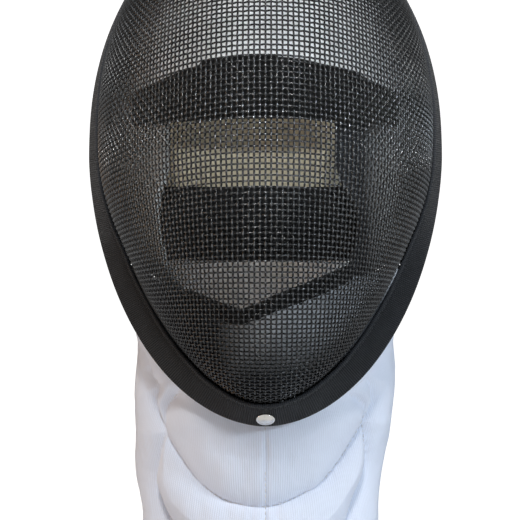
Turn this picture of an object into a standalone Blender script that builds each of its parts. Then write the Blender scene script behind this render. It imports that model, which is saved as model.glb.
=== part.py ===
"""Fencing mask: a woven wire bowl with a folded tape edge, a quilted bib, linings, a strap and a rear tongue.

Lengths are in metres, angles in degrees. The mask is laid out in its own frame first: x across, depth
back from the foremost point of the wire bowl, and height up from the lowest point of the edge. At the end
every point is moved so that the origin lies where the crown of a head bears on the crown lining.
The mask faces -Y, and +Z is up.
"""

import math

import bmesh
import bpy
import numpy as np

# Wire bowl and its edge
MASK_WIDTH = 0.2376
MASK_HEIGHT = 0.337
MASK_DEPTH = 0.180
BROW_HEIGHT = 0.183
UPPER_ROUNDNESS = 2.2
LOWER_ROUNDNESS = 1.86
MESH_WALL = 0.0021

# Folded tape on the edge
TAPE_WIDTH = 0.023
TAPE_BACK_WIDTH = 0.015
TAPE_THICKNESS = 0.0016
TAPE_START = 0.0006

# Gaps between neighbouring pieces
FIT_GAP = 0.0003
TAPE_GAP = 0.0005
FACET_GAP = 0.0007

# Bib
BIB_HALF_WIDTH = 0.0825
BIB_REACH = 0.062
BIB_AXIS_DEPTH = 0.152
BIB_DROP = 0.124
BIB_GATHER = 0.040
BIB_THICKNESS = 0.008
BIB_EDGE_THICKNESS = 0.0036
BIB_TUCK = 0.009
BIB_OVERHANG = 0.0025
BIB_WRAP = 104.0
BIB_TOP_REACH = 62.0
BIB_SIDE_RISE = 0.43
BIB_RISE_POWER = 1.5
QUILT_DEPTH = 0.0022
QUILT_SOFTNESS = 0.0055
INNER_LOBE_WRAP = 56.0
INNER_LOBE_HEIGHT = -0.010
INNER_LOBE_DROP = 0.046
OUTER_LOBE_WRAP = 69.0
OUTER_LOBE_HEIGHT = -0.042
OUTER_LOBE_DROP = 0.064

# Crown lining and forehead pad
LINING_THICKNESS = 0.006
PAD_THICKNESS = 0.012
PAD_HEIGHT = 0.038
PAD_SIDE_ROOM = 0.031
PAD_ABOVE_BROW = 0.041
PAD_FRONT_ROOM = 0.066
PAD_SWEEP = 0.060
PAD_DROOP = 0.017
PAD_SEAT = 0.0015
PAD_END_THINNING = 0.45
CROWN_WRAP = 66.0
CROWN_BULGE = 0.042
CROWN_SIDE_FALL = 0.75
CROWN_FORWARD = 0.75
CROWN_TUCK = 0.005
CROWN_REST = 0.78

# Cheek linings
CHEEK_THICKNESS = 0.005
CHEEK_FROM_EDGE = 0.013
CHEEK_TOP_ANGLE = 79.0
CHEEK_BOTTOM_ANGLE = 116.0
CHEEK_TOP_SHARE = 0.70
CHEEK_GROWTH = 10.0
CHEEK_INSET = 0.044
CHEEK_FORWARD = 0.036
CHEEK_DROP = 0.028
CHEEK_DROP_ANGLE = 94.0

# Chin lining and its bound edge
CHIN_THICKNESS = 0.005
CHIN_STAND_OFF = 0.012
CHIN_HALF_SPAN = 0.064
CHIN_WRAP = 52.0
CHIN_REACH = 0.975
CHIN_EASE = 1.5
VEE_TIP_ACROSS = -0.0225
VEE_TIP_HEIGHT = 0.0602
VEE_LEFT_HEIGHT = 0.0708
VEE_RIGHT_HEIGHT = 0.0862
BINDING_WIDTH = 0.008
BINDING_THICKNESS = 0.0065
BINDING_LIFT = 0.0010

# Head strap
STRAP_WIDTH = 0.052
STRAP_THICKNESS = 0.002
STRAP_MIDDLE_HEIGHT = 0.122
STRAP_SAG = 0.058
STRAP_TUCK = 0.009

# Rear tongue, a covered spring plate from the crown down behind the head
TONGUE_WRAP = 33.0
TONGUE_HALF_WIDTH = 0.069
TONGUE_THICKNESS = 0.010
TONGUE_BOTTOM = 0.056
TONGUE_SEAT = 0.0012
TONGUE_CORNER = 0.026
TONGUE_CUP = 0.0075
TONGUE_SETTLE = 0.45
TONGUE_SIDE_THINNING = 0.6
TONGUE_CROWDING = 1.25

# Press stud at the chin
STUD_DIAMETER = 0.0115
STUD_HEIGHT = 0.0036
STUD_FROM_EDGE = 0.0075

# Facets
SPOKES = 60
BOWL_RINGS = 10
RING_CROWDING = 0.9
NEAR_RIM = 0.99
SHARP_ANGLE = 50.0
BIB_COLUMNS = 46
BIB_ROWS = 18
CROWN_COLUMNS = 21
CROWN_ROWS = 10
PAD_SECTIONS = 25
CHEEK_COLUMNS = 6
CHEEK_ROWS = 11
CHIN_COLUMNS = 19
CHIN_ROWS = 8
STRAP_COLUMNS = 23
STRAP_ROWS = 5
TONGUE_COLUMNS = 9
TONGUE_ROWS = 11
STUD_SIDES = 24

# Depth of the edge, as shares: height of the mask, depth of the mask
EDGE_DEPTH = (
    (0.000, 0.420),
    (0.024, 0.440),
    (0.074, 0.495),
    (0.142, 0.590),
    (0.214, 0.690),
    (0.309, 0.806),
    (0.408, 0.889),
    (0.519, 0.917),
    (0.611, 0.928),
    (0.715, 0.956),
    (0.822, 0.990),
    (1.000, 1.000),
)

# Flare of the tape away from straight back: share of the mask's height, degrees
EDGE_FLARE = (
    (0.000, 44.0),
    (0.074, 54.0),
    (0.142, 56.5),
    (0.220, 53.0),
    (0.300, 45.0),
    (0.360, 35.0),
    (0.430, 26.0),
    (0.520, 21.0),
    (0.611, 18.0),
    (0.715, 15.0),
    (0.822, 13.0),
    (0.930, 9.0),
    (1.000, 7.0),
)

# Fullness of the bowl, the power of its section: share of the mask's height at the edge, power
BOWL_FULLNESS = (
    (0.00, 3.60),
    (0.10, 3.20),
    (0.22, 3.00),
    (0.37, 2.60),
    (0.60, 2.10),
    (1.00, 2.00),
)

# Share of a quarter round in the bowl's section: share of the mask's height at the edge, share
BOWL_ROUND = (
    (0.00, 0.05),
    (0.10, 0.60),
    (0.22, 0.80),
    (0.37, 0.80),
    (0.50, 0.70),
    (0.65, 0.68),
    (0.80, 0.70),
    (1.00, 0.70),
)

# Half thickness of the bib down from its top edge: share of the way down, share of the full half thickness
BIB_FULLNESS = (
    (0.00, 0.45),
    (0.05, 0.45),
    (0.16, 0.90),
    (0.50, 1.00),
    (0.90, 0.95),
    (1.00, 0.55),
)

# Half section of the forehead pad: share of its height down, share of its thickness back
PAD_OUTLINE = (
    (0.00, 0.15),
    (0.06, 0.03),
    (0.50, 0.00),
    (0.94, 0.03),
    (1.00, 0.15),
)

# Depth of the tongue's middle line behind its seat: share of the way along, depth
TONGUE_LINE = (
    (0.00, 0.000),
    (0.04, 0.009),
    (0.10, 0.020),
    (0.20, 0.033),
    (0.36, 0.043),
    (0.55, 0.0479),
    (0.75, 0.0477),
    (1.00, 0.039),
)

# Fall of the tongue's middle line below its seat: share of the way along, share of the whole fall
TONGUE_FALL = (
    (0.00, 0.000),
    (0.04, 0.006),
    (0.10, 0.045),
    (0.20, 0.150),
    (0.36, 0.325),
    (0.55, 0.530),
    (0.75, 0.745),
    (1.00, 1.000),
)

# Half thickness of the tongue down from its seat: share of the way down, share of the full half thickness
TONGUE_FULLNESS = (
    (0.00, 0.30),
    (0.10, 0.85),
    (0.50, 1.00),
    (0.90, 0.90),
    (1.00, 0.35),
)

# Outline of the press stud: share of its radius, share of its height
STUD_PROFILE = (
    (0.00, 1.00),
    (0.35, 0.97),
    (0.65, 0.80),
    (0.88, 0.50),
    (1.00, 0.22),
    (1.00, 0.00),
    (0.00, 0.00),
)

X_AXIS = np.array((1.0, 0.0, 0.0))
Y_AXIS = np.array((0.0, 1.0, 0.0))
Z_AXIS = np.array((0.0, 0.0, 1.0))


def read_table(table, place):
    """Smooth value of a two-column table at a place, by a cubic through its rows."""
    places = [row[0] for row in table]
    values = [row[1] for row in table]
    place = min(max(place, places[0]), places[-1])
    last = len(table) - 1
    k = min(max(i for i in range(last + 1) if places[i] <= place), last - 1)
    steps = [(values[i + 1] - values[i]) / (places[i + 1] - places[i]) for i in range(last)]
    slopes = [steps[0]] + [(steps[i - 1] + steps[i]) / 2 for i in range(1, last)] + [steps[-1]]
    span = places[k + 1] - places[k]
    t = (place - places[k]) / span
    start = (2 * t**3 - 3 * t**2 + 1) * values[k] + (t**3 - 2 * t**2 + t) * span * slopes[k]
    end = (3 * t**2 - 2 * t**3) * values[k + 1] + (t**3 - t**2) * span * slopes[k + 1]
    return start + end


def unit(vector):
    """The vector at length one."""
    return vector / np.linalg.norm(vector)


def smooth_step(t):
    """Eases from 0 to 1."""
    t = min(max(t, 0.0), 1.0)
    return t * t * (3 - 2 * t)


def edge_point(turn):
    """Outermost point of the edge, at a turn in degrees from the crown towards +X."""
    across = math.sin(math.radians(turn))
    up = math.cos(math.radians(turn))
    power = 2 / (UPPER_ROUNDNESS if up > 0 else LOWER_ROUNDNESS)
    x = MASK_WIDTH / 2 * math.copysign(abs(across) ** power, across)
    height = MASK_HEIGHT / 2 * (1 + math.copysign(abs(up) ** power, up))
    depth = MASK_DEPTH * read_table(EDGE_DEPTH, height / MASK_HEIGHT)
    return np.array((x, depth, height))


def edge_frame(turn):
    """Edge point, the way across the tape towards it, and the tape's outward normal."""
    point = edge_point(turn)
    along = edge_point(turn + 1.0) - edge_point(turn - 1.0)
    outward = unit(np.array((along[2], 0.0, -along[0])) * -1.0)
    if outward @ (point - np.array((0.0, 0.0, MASK_HEIGHT / 2))) < 0:
        outward = -outward
    flare = math.radians(read_table(EDGE_FLARE, point[2] / MASK_HEIGHT))
    across = math.sin(flare) * outward + math.cos(flare) * Y_AXIS
    normal = unit(np.cross(unit(along), across))
    if normal @ outward < 0:
        normal = -normal
    return point, across, normal


def tape_point(turn, back, out):
    """A point by the edge: back from the edge along the tape, and out from the wire bowl's outer face."""
    point, across, normal = edge_frame(turn)
    return point - back * across + out * normal


def bowl_point(turn, share):
    """Outer face of the wire bowl, from the brow (share 0) to the tape's inner edge (share 1)."""
    rim = tape_point(turn, TAPE_WIDTH, 0.0)
    power = read_table(BOWL_FULLNESS, rim[2] / MASK_HEIGHT)
    rounded = read_table(BOWL_ROUND, rim[2] / MASK_HEIGHT)
    quarter = 1 - math.sqrt(max(1 - share**2, 0.0))
    depth = rim[1] * ((1 - rounded) * share**power + rounded * quarter)
    height = BROW_HEIGHT + (rim[2] - BROW_HEIGHT) * share
    return np.array((rim[0] * share, depth, height))


def bowl_normal(turn, share):
    """Outward normal of the wire bowl."""
    step = 0.004
    near, far = max(share - step, step), min(share + step, 1.0)
    down = bowl_point(turn, far) - bowl_point(turn, near)
    along = bowl_point(turn + 1.0, share) - bowl_point(turn - 1.0, share)
    normal = unit(np.cross(down, along))
    return -normal if normal[1] > 0 else normal


def bowl_place(x, height):
    """Turn and share of the bowl's point at x and height, found by halving."""
    aim = math.atan2(x, height - BROW_HEIGHT)
    side = 1.0 if aim >= 0 else -1.0
    low, high = 0.0, 180.0
    for _ in range(30):
        middle = (low + high) / 2
        rim = tape_point(side * middle, TAPE_WIDTH, 0.0)
        if side * math.atan2(rim[0], rim[2] - BROW_HEIGHT) < abs(aim):
            low = middle
        else:
            high = middle
    turn = side * (low + high) / 2
    rim = tape_point(turn, TAPE_WIDTH, 0.0)
    share = math.hypot(x, height - BROW_HEIGHT) / math.hypot(rim[0], rim[2] - BROW_HEIGHT)
    return turn, share


def inside_bowl(x, height, inset):
    """The point at x and height on the bowl's outer face, moved in by inset along its normal."""
    turn, share = bowl_place(x, height)
    return bowl_point(turn, share) - inset * bowl_normal(turn, share)


def surface_normals(grid, outside):
    """Normals of a grid of points, turned to the side where outside(point, normal) is positive."""
    down = np.gradient(grid, axis=0)
    along = np.gradient(grid, axis=1)
    normals = np.cross(down, along)
    normals /= np.linalg.norm(normals, axis=2, keepdims=True)
    middle = (grid.shape[0] // 2, grid.shape[1] // 2)
    if outside(grid[middle], normals[middle]) < 0:
        normals = -normals
    return normals


def thicken(grid, normals, half):
    """Outer and inner grids at a half thickness, a number or a column of them, each side."""
    return grid + normals * half, grid - normals * half


def new_object(name, mesh_maker, material):
    """A linked object whose mesh is filled by mesh_maker(bm), faces out and shaded smooth."""
    mesh = bpy.data.meshes.new(name)
    bm = bmesh.new()
    mesh_maker(bm)
    bmesh.ops.recalc_face_normals(bm, faces=bm.faces)
    bm.to_mesh(mesh)
    bm.free()
    mesh.shade_smooth()
    mesh.set_sharp_from_angle(angle=math.radians(SHARP_ANGLE))
    mesh.materials.append(material)
    obj = bpy.data.objects.new(name, mesh)
    bpy.context.collection.objects.link(obj)
    return obj


def split_facet(bm, a, b, c, d):
    """Two triangles for the four-sided facet a, b, c, d, split from a to c."""
    bm.faces.new((a, b, c))
    bm.faces.new((a, c, d))


def panel(name, outer, inner, material):
    """A closed sheet between two grids of the same size."""
    rows, columns = outer.shape[:2]

    def make(bm):
        front = [[bm.verts.new(p) for p in row] for row in outer]
        back = [[bm.verts.new(p) for p in row] for row in inner]
        for i in range(rows - 1):
            for j in range(columns - 1):
                split_facet(bm, front[i][j], front[i][j + 1], front[i + 1][j + 1], front[i + 1][j])
                split_facet(bm, back[i][j], back[i + 1][j], back[i + 1][j + 1], back[i][j + 1])
        border = [(0, j) for j in range(columns - 1)]
        border += [(i, columns - 1) for i in range(rows - 1)]
        border += [(rows - 1, j) for j in range(columns - 1, 0, -1)]
        border += [(i, 0) for i in range(rows - 1, 0, -1)]
        for a, b in zip(border, border[1:] + border[:1]):
            bm.faces.new((front[a[0]][a[1]], back[a[0]][a[1]], back[b[0]][b[1]], front[b[0]][b[1]]))

    return new_object(name, make, material)


def tube(name, sections, material, closed, mirrored=lambda j: False):
    """A solid through a row of sections.

    Closed joins the last section to the first; mirrored says which sides are split the other way.
    """
    count = len(sections)
    sides = len(sections[0])

    def make(bm):
        rings = [[bm.verts.new(p) for p in section] for section in sections]
        for i in range(count if closed else count - 1):
            here, there = rings[i], rings[(i + 1) % count]
            for j in range(sides):
                k = (j + 1) % sides
                if mirrored(j):
                    split_facet(bm, here[k], there[k], there[j], here[j])
                else:
                    split_facet(bm, here[j], here[k], there[k], there[j])
        if not closed:
            bm.faces.new(rings[0])
            bm.faces.new(rings[-1][::-1])

    return new_object(name, make, material)


def finish(name, color, roughness, metallic=0.0):
    """A Principled material."""
    material = bpy.data.materials.new(name)
    material.use_nodes = True
    shader = material.node_tree.nodes["Principled BSDF"]
    shader.inputs["Base Color"].default_value = (*color, 1.0)
    shader.inputs["Roughness"].default_value = roughness
    shader.inputs["Metallic"].default_value = metallic
    material.diffuse_color = (*color, 1.0)
    return material


def make_wire_mesh(origin):
    """The wire bowl and its turned flange, as one wall."""
    turns = [360 * k / SPOKES for k in range(SPOKES)]
    shares = [math.sin(math.pi / 2 * (r / BOWL_RINGS) ** RING_CROWDING) for r in range(1, BOWL_RINGS + 1)]
    outer = [[bowl_point(turn, share) for turn in turns] for share in shares]
    inner = [
        [bowl_point(turn, share) - MESH_WALL * bowl_normal(turn, share) for turn in turns]
        for share in shares[:-1]
    ]
    crease = []
    for turn in turns:
        flat = edge_frame(turn)[2]
        middle = unit(flat + bowl_normal(turn, NEAR_RIM))
        crease.append(bowl_point(turn, 1.0) - MESH_WALL / (middle @ flat) * middle)
    inner.append(crease)
    for back in (TAPE_WIDTH / 2, TAPE_THICKNESS + TAPE_GAP):
        outer.append([tape_point(turn, back, 0.0) for turn in turns])
        inner.append([tape_point(turn, back, -MESH_WALL) for turn in turns])

    def make(bm):
        walls = []
        for rings, depth in ((outer, 0.0), (inner, MESH_WALL)):
            brow = bm.verts.new(np.array((0.0, depth, BROW_HEIGHT)) - origin)
            verts = [[bm.verts.new(p - origin) for p in ring] for ring in rings]
            walls.append(verts[-1])
            for j in range(SPOKES):
                k = (j + 1) % SPOKES
                bm.faces.new((brow, verts[0][j], verts[0][k]))
                for here, there in zip(verts, verts[1:]):
                    split_facet(bm, here[j], there[j], there[k], here[k])
        for j in range(SPOKES):
            k = (j + 1) % SPOKES
            bm.faces.new((walls[0][j], walls[1][j], walls[1][k], walls[0][k]))

    return new_object("wire_mesh", make, finish("black_wire", (0.035, 0.035, 0.035), 0.45, 0.6))


def make_edge_trim(origin):
    """The ribbed tape folded round the flange, one loop."""
    near = TAPE_GAP
    far = TAPE_GAP + TAPE_THICKNESS
    under = -MESH_WALL - near
    below = -MESH_WALL - far
    fold = TAPE_THICKNESS
    section = (
        (TAPE_WIDTH - TAPE_START, near),
        (TAPE_WIDTH - TAPE_START, far),
        (TAPE_WIDTH / 2, far),
        (fold / 2, far),
        (0.0, far - fold / 2),
        (0.0, below + fold / 2),
        (fold / 2, below),
        (TAPE_WIDTH / 2, below),
        (TAPE_BACK_WIDTH, below),
        (TAPE_BACK_WIDTH, under),
        (TAPE_WIDTH / 2, under),
        (fold, under),
        (fold, near),
        (TAPE_WIDTH / 2, near),
    )
    turns = [360 * k / SPOKES for k in range(SPOKES)]
    sections = [[tape_point(turn, back, out) - origin for back, out in section] for turn in turns]
    black = finish("black_tape", (0.03, 0.032, 0.035), 0.8)

    def mirrored(j):
        return section[j][0] < section[(j + 1) % len(section)][0]

    return tube("edge_trim", sections, black, True, mirrored)


def lobe_distance(turn, height, wrap, top, drop):
    """Distance along the bib from a quilted lobe's seam, whose sides rise straight above its top."""
    reach = math.radians(wrap) * BIB_HALF_WIDTH
    across = abs(math.radians(turn)) * BIB_HALF_WIDTH
    if height >= top:
        return abs(across - reach)
    length = math.hypot(across / reach, (top - height) / drop)
    return abs(length - 1) * (drop if across < reach / 2 else (drop + reach) / 2)


def quilt_dent(turn, height):
    """Depth of the quilting at a turn round the bib and a height."""
    inner = lobe_distance(turn, height, INNER_LOBE_WRAP, INNER_LOBE_HEIGHT, INNER_LOBE_DROP)
    outer = lobe_distance(turn, height, OUTER_LOBE_WRAP, OUTER_LOBE_HEIGHT, OUTER_LOBE_DROP)
    middle = abs(math.radians(turn)) * BIB_HALF_WIDTH
    nearest = min(inner, outer, middle)
    return QUILT_DEPTH * math.exp(-((nearest / QUILT_SOFTNESS) ** 2))


def bib_column(turn):
    """Middle of the bib's wall from its tucked top edge down to the hem, at a turn from the front."""
    edge_turn = 180.0 - turn * BIB_TOP_REACH / BIB_WRAP
    inward = -(MESH_WALL + TAPE_GAP + TAPE_THICKNESS + FACET_GAP + BIB_EDGE_THICKNESS / 2)
    tucked = tape_point(edge_turn, BIB_TUCK, inward)
    lip = tape_point(edge_turn, -BIB_OVERHANG, inward)
    round_x = BIB_HALF_WIDTH * math.sin(math.radians(turn))
    round_y = BIB_AXIS_DEPTH - BIB_REACH * math.cos(math.radians(turn))
    hem = -BIB_DROP * (1 - BIB_SIDE_RISE * (1 - math.cos(math.radians(turn))) ** BIB_RISE_POWER)
    points = [tucked]
    for k in range(BIB_ROWS):
        share = k / (BIB_ROWS - 1)
        ease = smooth_step(share * (lip[2] - hem) / BIB_GATHER)
        x = lip[0] + (round_x - lip[0]) * ease
        y = lip[1] + (round_y - lip[1]) * ease
        points.append(np.array((x, y, lip[2] + (hem - lip[2]) * share)))
    return points


def make_bib(origin):
    """The quilted bib, one padded sheet from ear to ear."""
    turns = np.linspace(-BIB_WRAP, BIB_WRAP, BIB_COLUMNS + 1)
    grid = np.array([bib_column(turn) for turn in turns]).transpose(1, 0, 2)
    axis = np.array((0.0, BIB_AXIS_DEPTH, 0.0))
    normals = surface_normals(grid, lambda p, n: n @ ((p - axis) * (1, 1, 0)))
    rows = grid.shape[0]
    half = np.zeros((*grid.shape[:2], 1))
    dent = np.zeros_like(half)
    for i in range(rows):
        share = max(i - 1, 0) / (rows - 2)
        for j, turn in enumerate(turns):
            half[i, j] = BIB_THICKNESS / 2 * read_table(BIB_FULLNESS, share)
            if i > 2:
                dent[i, j] = quilt_dent(turn, grid[i, j, 2])
    outer = grid + normals * (half - dent)
    inner = grid - normals * half
    white = finish("white_quilt", (0.80, 0.82, 0.86), 0.85)
    return panel("bib", outer - origin, inner - origin, white)


def pad_line(u):
    """Top edge of the forehead pad and front edge of the crown lining, u from -1 to 1."""
    half_span = MASK_WIDTH / 2 - PAD_SIDE_ROOM
    height = BROW_HEIGHT + PAD_ABOVE_BROW - PAD_DROOP * u * u
    return np.array((half_span * u, PAD_FRONT_ROOM + PAD_SWEEP * u * u, height))


def crown_middle(u, v):
    """Middle of the crown lining's wall, from the forehead (v 0) to the back of the crown (v 1)."""
    front = pad_line(u) + LINING_THICKNESS / 2 * Y_AXIS
    inward = -(MESH_WALL + TAPE_GAP + TAPE_THICKNESS + FACET_GAP + LINING_THICKNESS / 2)
    back = tape_point(CROWN_WRAP * u, CROWN_TUCK, inward)
    lift = CROWN_BULGE * (1 - CROWN_SIDE_FALL * u * u)
    bend = (front + back) / 2 + lift * (Z_AXIS - CROWN_FORWARD * Y_AXIS)
    return (1 - v) ** 2 * front + 2 * v * (1 - v) * bend + v * v * back


def make_crown_lining(origin):
    """The lining over the crown."""
    spread = np.linspace(-1, 1, CROWN_COLUMNS)
    grid = np.array([[crown_middle(u, v) for u in spread] for v in np.linspace(0, 1, CROWN_ROWS)])
    normals = surface_normals(grid, lambda p, n: n[2])
    outer, inner = thicken(grid, normals, LINING_THICKNESS / 2)
    white = finish("white_lining", (0.78, 0.80, 0.83), 0.9)
    return panel("crown_lining", outer - origin, inner - origin, white)


def crown_origin():
    """Where a head's crown bears on the lining's inner face."""
    step = 0.01
    slope = crown_middle(0.0, CROWN_REST + step) - crown_middle(0.0, CROWN_REST - step)
    inward = unit(np.cross(slope, X_AXIS))
    if inward[2] > 0:
        inward = -inward
    return crown_middle(0.0, CROWN_REST) + inward * LINING_THICKNESS / 2


def make_forehead_pad(origin):
    """The padded band under the lining's front edge."""
    sections = []
    for u in np.linspace(-1, 1, PAD_SECTIONS):
        top = pad_line(u)
        ahead = unit((pad_line(u + 0.01) - pad_line(u - 0.01)) * (1, 1, 0))
        back = np.array((-ahead[1], ahead[0], 0.0))
        tall = PAD_HEIGHT - PAD_DROOP * u * u
        full = PAD_THICKNESS * (1 - PAD_END_THINNING * u**4)
        back_side = [(down, 1 - share) for down, share in PAD_OUTLINE[::-1]]
        section = []
        for down, share in [*PAD_OUTLINE, *back_side]:
            drop = PAD_SEAT + down * tall
            section.append(top - drop * Z_AXIS + share * full * back - origin)
        sections.append(section)
    return tube("forehead_pad", sections, finish("black_pad", (0.02, 0.02, 0.02), 0.95), False)


def make_cheek_lining(name, side, origin):
    """A side lining, from the tape's back forwards and inwards beside the cheek."""
    rows = []
    inward = -(MESH_WALL + TAPE_GAP + TAPE_THICKNESS + FACET_GAP + CHEEK_THICKNESS / 2)
    for turn in np.linspace(CHEEK_TOP_ANGLE, CHEEK_BOTTOM_ANGLE, CHEEK_ROWS):
        rear = tape_point(side * turn, CHEEK_FROM_EDGE, inward)
        share = smooth_step((turn - CHEEK_TOP_ANGLE) / CHEEK_GROWTH)
        reach = CHEEK_TOP_SHARE + (1 - CHEEK_TOP_SHARE) * share
        lowered = smooth_step((turn - CHEEK_DROP_ANGLE) / (CHEEK_BOTTOM_ANGLE - CHEEK_DROP_ANGLE))
        turned_in = reach * np.array((-side * CHEEK_INSET, -CHEEK_FORWARD, -CHEEK_DROP * lowered))
        rows.append([rear + turned_in * v for v in np.linspace(0, 1, CHEEK_COLUMNS)])
    grid = np.array(rows)
    normals = surface_normals(grid, lambda p, n: -n[1])
    outer, inner = thicken(grid, normals, CHEEK_THICKNESS / 2)
    pale = finish(name + "_cloth", (0.66, 0.69, 0.70), 0.9)
    return panel(name, outer - origin, inner - origin, pale)


def vee_height(x):
    """Height of the chin lining's V-shaped top edge at x."""
    if x < VEE_TIP_ACROSS:
        share = (VEE_TIP_ACROSS - x) / (VEE_TIP_ACROSS + CHIN_HALF_SPAN)
        return VEE_TIP_HEIGHT + (VEE_LEFT_HEIGHT - VEE_TIP_HEIGHT) * share
    share = (x - VEE_TIP_ACROSS) / (CHIN_HALF_SPAN - VEE_TIP_ACROSS)
    return VEE_TIP_HEIGHT + (VEE_RIGHT_HEIGHT - VEE_TIP_HEIGHT) * share


def make_chin_lining(origin):
    """The lining inside the chin, up to its V-shaped edge."""
    outer, inner = [], []
    for v in np.linspace(0, 1, CHIN_ROWS):
        front, back = [], []
        for u in np.linspace(-1, 1, CHIN_COLUMNS):
            top = np.array((CHIN_HALF_SPAN * u, vee_height(CHIN_HALF_SPAN * u)))
            rim = bowl_point(180 - CHIN_WRAP * u, CHIN_REACH)
            x, height = top + (rim[[0, 2]] - top) * v
            near = MESH_WALL + FACET_GAP + CHIN_STAND_OFF * (1 - v) ** CHIN_EASE
            front.append(inside_bowl(x, height, near))
            back.append(inside_bowl(x, height, near + CHIN_THICKNESS))
        outer.append(front)
        inner.append(back)
    white = finish("chin_cloth", (0.74, 0.77, 0.82), 0.9)
    return panel("chin_lining", np.array(outer) - origin, np.array(inner) - origin, white)


def make_lining_binding(origin):
    """The black binding above the chin lining's edge."""
    near = MESH_WALL + FACET_GAP + CHIN_STAND_OFF - (BINDING_THICKNESS - CHIN_THICKNESS) / 2
    outer, inner = [], []
    for lift in (BINDING_LIFT + BINDING_WIDTH, BINDING_LIFT + BINDING_WIDTH / 2, BINDING_LIFT):
        places = [(CHIN_HALF_SPAN * u, lift) for u in np.linspace(-1, 1, CHIN_COLUMNS)]
        outer.append([inside_bowl(x, vee_height(x) + up, near) for x, up in places])
        inner.append([inside_bowl(x, vee_height(x) + up, near + BINDING_THICKNESS) for x, up in places])
    black = finish("black_binding", (0.02, 0.02, 0.022), 0.85)
    return panel("lining_binding", np.array(outer) - origin, np.array(inner) - origin, black)


def edge_turn_at(height):
    """Turn of the edge point on the +X side at a height, found by halving."""
    low, high = 0.0, 180.0
    for _ in range(40):
        middle = (low + high) / 2
        if edge_point(middle)[2] > height:
            low = middle
        else:
            high = middle
    return (low + high) / 2


def make_head_strap(origin):
    """The wide elastic strap, from the tape's back on one side round to the other."""
    rows = []
    inward = -(MESH_WALL + TAPE_GAP + TAPE_THICKNESS + FACET_GAP + STRAP_THICKNESS / 2)
    mirror = np.array((-1.0, 1.0, 1.0))
    for rise in np.linspace(STRAP_WIDTH / 2, -STRAP_WIDTH / 2, STRAP_ROWS):
        height = STRAP_MIDDLE_HEIGHT + rise
        turn = edge_turn_at(height)
        sewn = tape_point(turn, STRAP_TUCK, inward)
        end = tape_point(turn, FIT_GAP, inward)
        row = [sewn * mirror]
        for swing in np.linspace(-math.pi / 2, math.pi / 2, STRAP_COLUMNS):
            row.append(end * (math.sin(swing), 1, 1) + STRAP_SAG * math.cos(swing) * Y_AXIS)
        rows.append(row + [sewn])
    grid = np.array(rows)
    normals = surface_normals(grid, lambda p, n: n[1])
    outer, inner = thicken(grid, normals, STRAP_THICKNESS / 2)
    black = finish("black_elastic", (0.022, 0.022, 0.025), 0.8)
    return panel("head_strap", outer - origin, inner - origin, black)


def tongue_middle(u, v):
    """Middle of the tongue's wall, from its seat behind the crown's tape (v 0) to its foot (v 1)."""
    seat = tape_point(TONGUE_WRAP * u, -TONGUE_SEAT, -MESH_WALL / 2)
    settled = smooth_step(v / TONGUE_SETTLE)
    x = seat[0] + (TONGUE_HALF_WIDTH * u - seat[0]) * settled
    depth = seat[1] + read_table(TONGUE_LINE, v) - TONGUE_CUP * u * u * settled
    fall = read_table(TONGUE_FALL, v)
    height = seat[2] + (TONGUE_BOTTOM + TONGUE_CORNER * u**4 - seat[2]) * fall
    return np.array((x, depth, height))


def make_rear_tongue(origin):
    """The covered spring plate behind the head, hung from the crown and passing outside the strap."""
    spread = np.linspace(-1, 1, TONGUE_COLUMNS)
    falls = np.linspace(0, 1, TONGUE_ROWS) ** TONGUE_CROWDING
    grid = np.array([[tongue_middle(u, v) for u in spread] for v in falls])
    normals = surface_normals(grid, lambda p, n: n[1])
    half = np.zeros((*grid.shape[:2], 1))
    for i, v in enumerate(falls):
        for j, u in enumerate(spread):
            side = 1 - TONGUE_SIDE_THINNING * u**6
            half[i, j] = TONGUE_THICKNESS / 2 * side * read_table(TONGUE_FULLNESS, v)
    outer, inner = thicken(grid, normals, half)
    cream = finish("cream_cover", (0.72, 0.70, 0.62), 0.9)
    return panel("rear_tongue", outer - origin, inner - origin, cream)


def make_chin_snap(origin):
    """The domed press stud on the tape at the chin, turned about the tape's normal."""
    out = TAPE_GAP + TAPE_THICKNESS + FIT_GAP
    base = tape_point(180.0, STUD_FROM_EDGE, out)
    _, across, normal = edge_frame(180.0)
    radius = STUD_DIAMETER / 2

    def make(bm):
        rings = []
        for share, lift in STUD_PROFILE:
            if share == 0:
                rings.append([bm.verts.new(base + lift * STUD_HEIGHT * normal - origin)])
                continue
            ring = []
            for k in range(STUD_SIDES):
                spin = 2 * math.pi * k / STUD_SIDES
                aside = radius * share * (math.cos(spin) * X_AXIS + math.sin(spin) * across)
                ring.append(bm.verts.new(base + aside + lift * STUD_HEIGHT * normal - origin))
            rings.append(ring)
        for here, there in zip(rings, rings[1:]):
            for k in range(STUD_SIDES):
                m = (k + 1) % STUD_SIDES
                corners = [here[k % len(here)], here[m % len(here)], there[m % len(there)], there[k % len(there)]]
                bm.faces.new(list(dict.fromkeys(corners)))

    return new_object("chin_snap", make, finish("nickel", (0.72, 0.71, 0.68), 0.22, 1.0))


def main():
    """Clears the scene and builds the mask."""
    for obj in list(bpy.data.objects):
        bpy.data.objects.remove(obj, do_unlink=True)
    origin = crown_origin()
    make_wire_mesh(origin)
    make_edge_trim(origin)
    make_bib(origin)
    make_crown_lining(origin)
    make_forehead_pad(origin)
    make_cheek_lining("cheek_lining_left", -1.0, origin)
    make_cheek_lining("cheek_lining_right", 1.0, origin)
    make_chin_lining(origin)
    make_lining_binding(origin)
    make_head_strap(origin)
    make_rear_tongue(origin)
    make_chin_snap(origin)


main()
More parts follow.
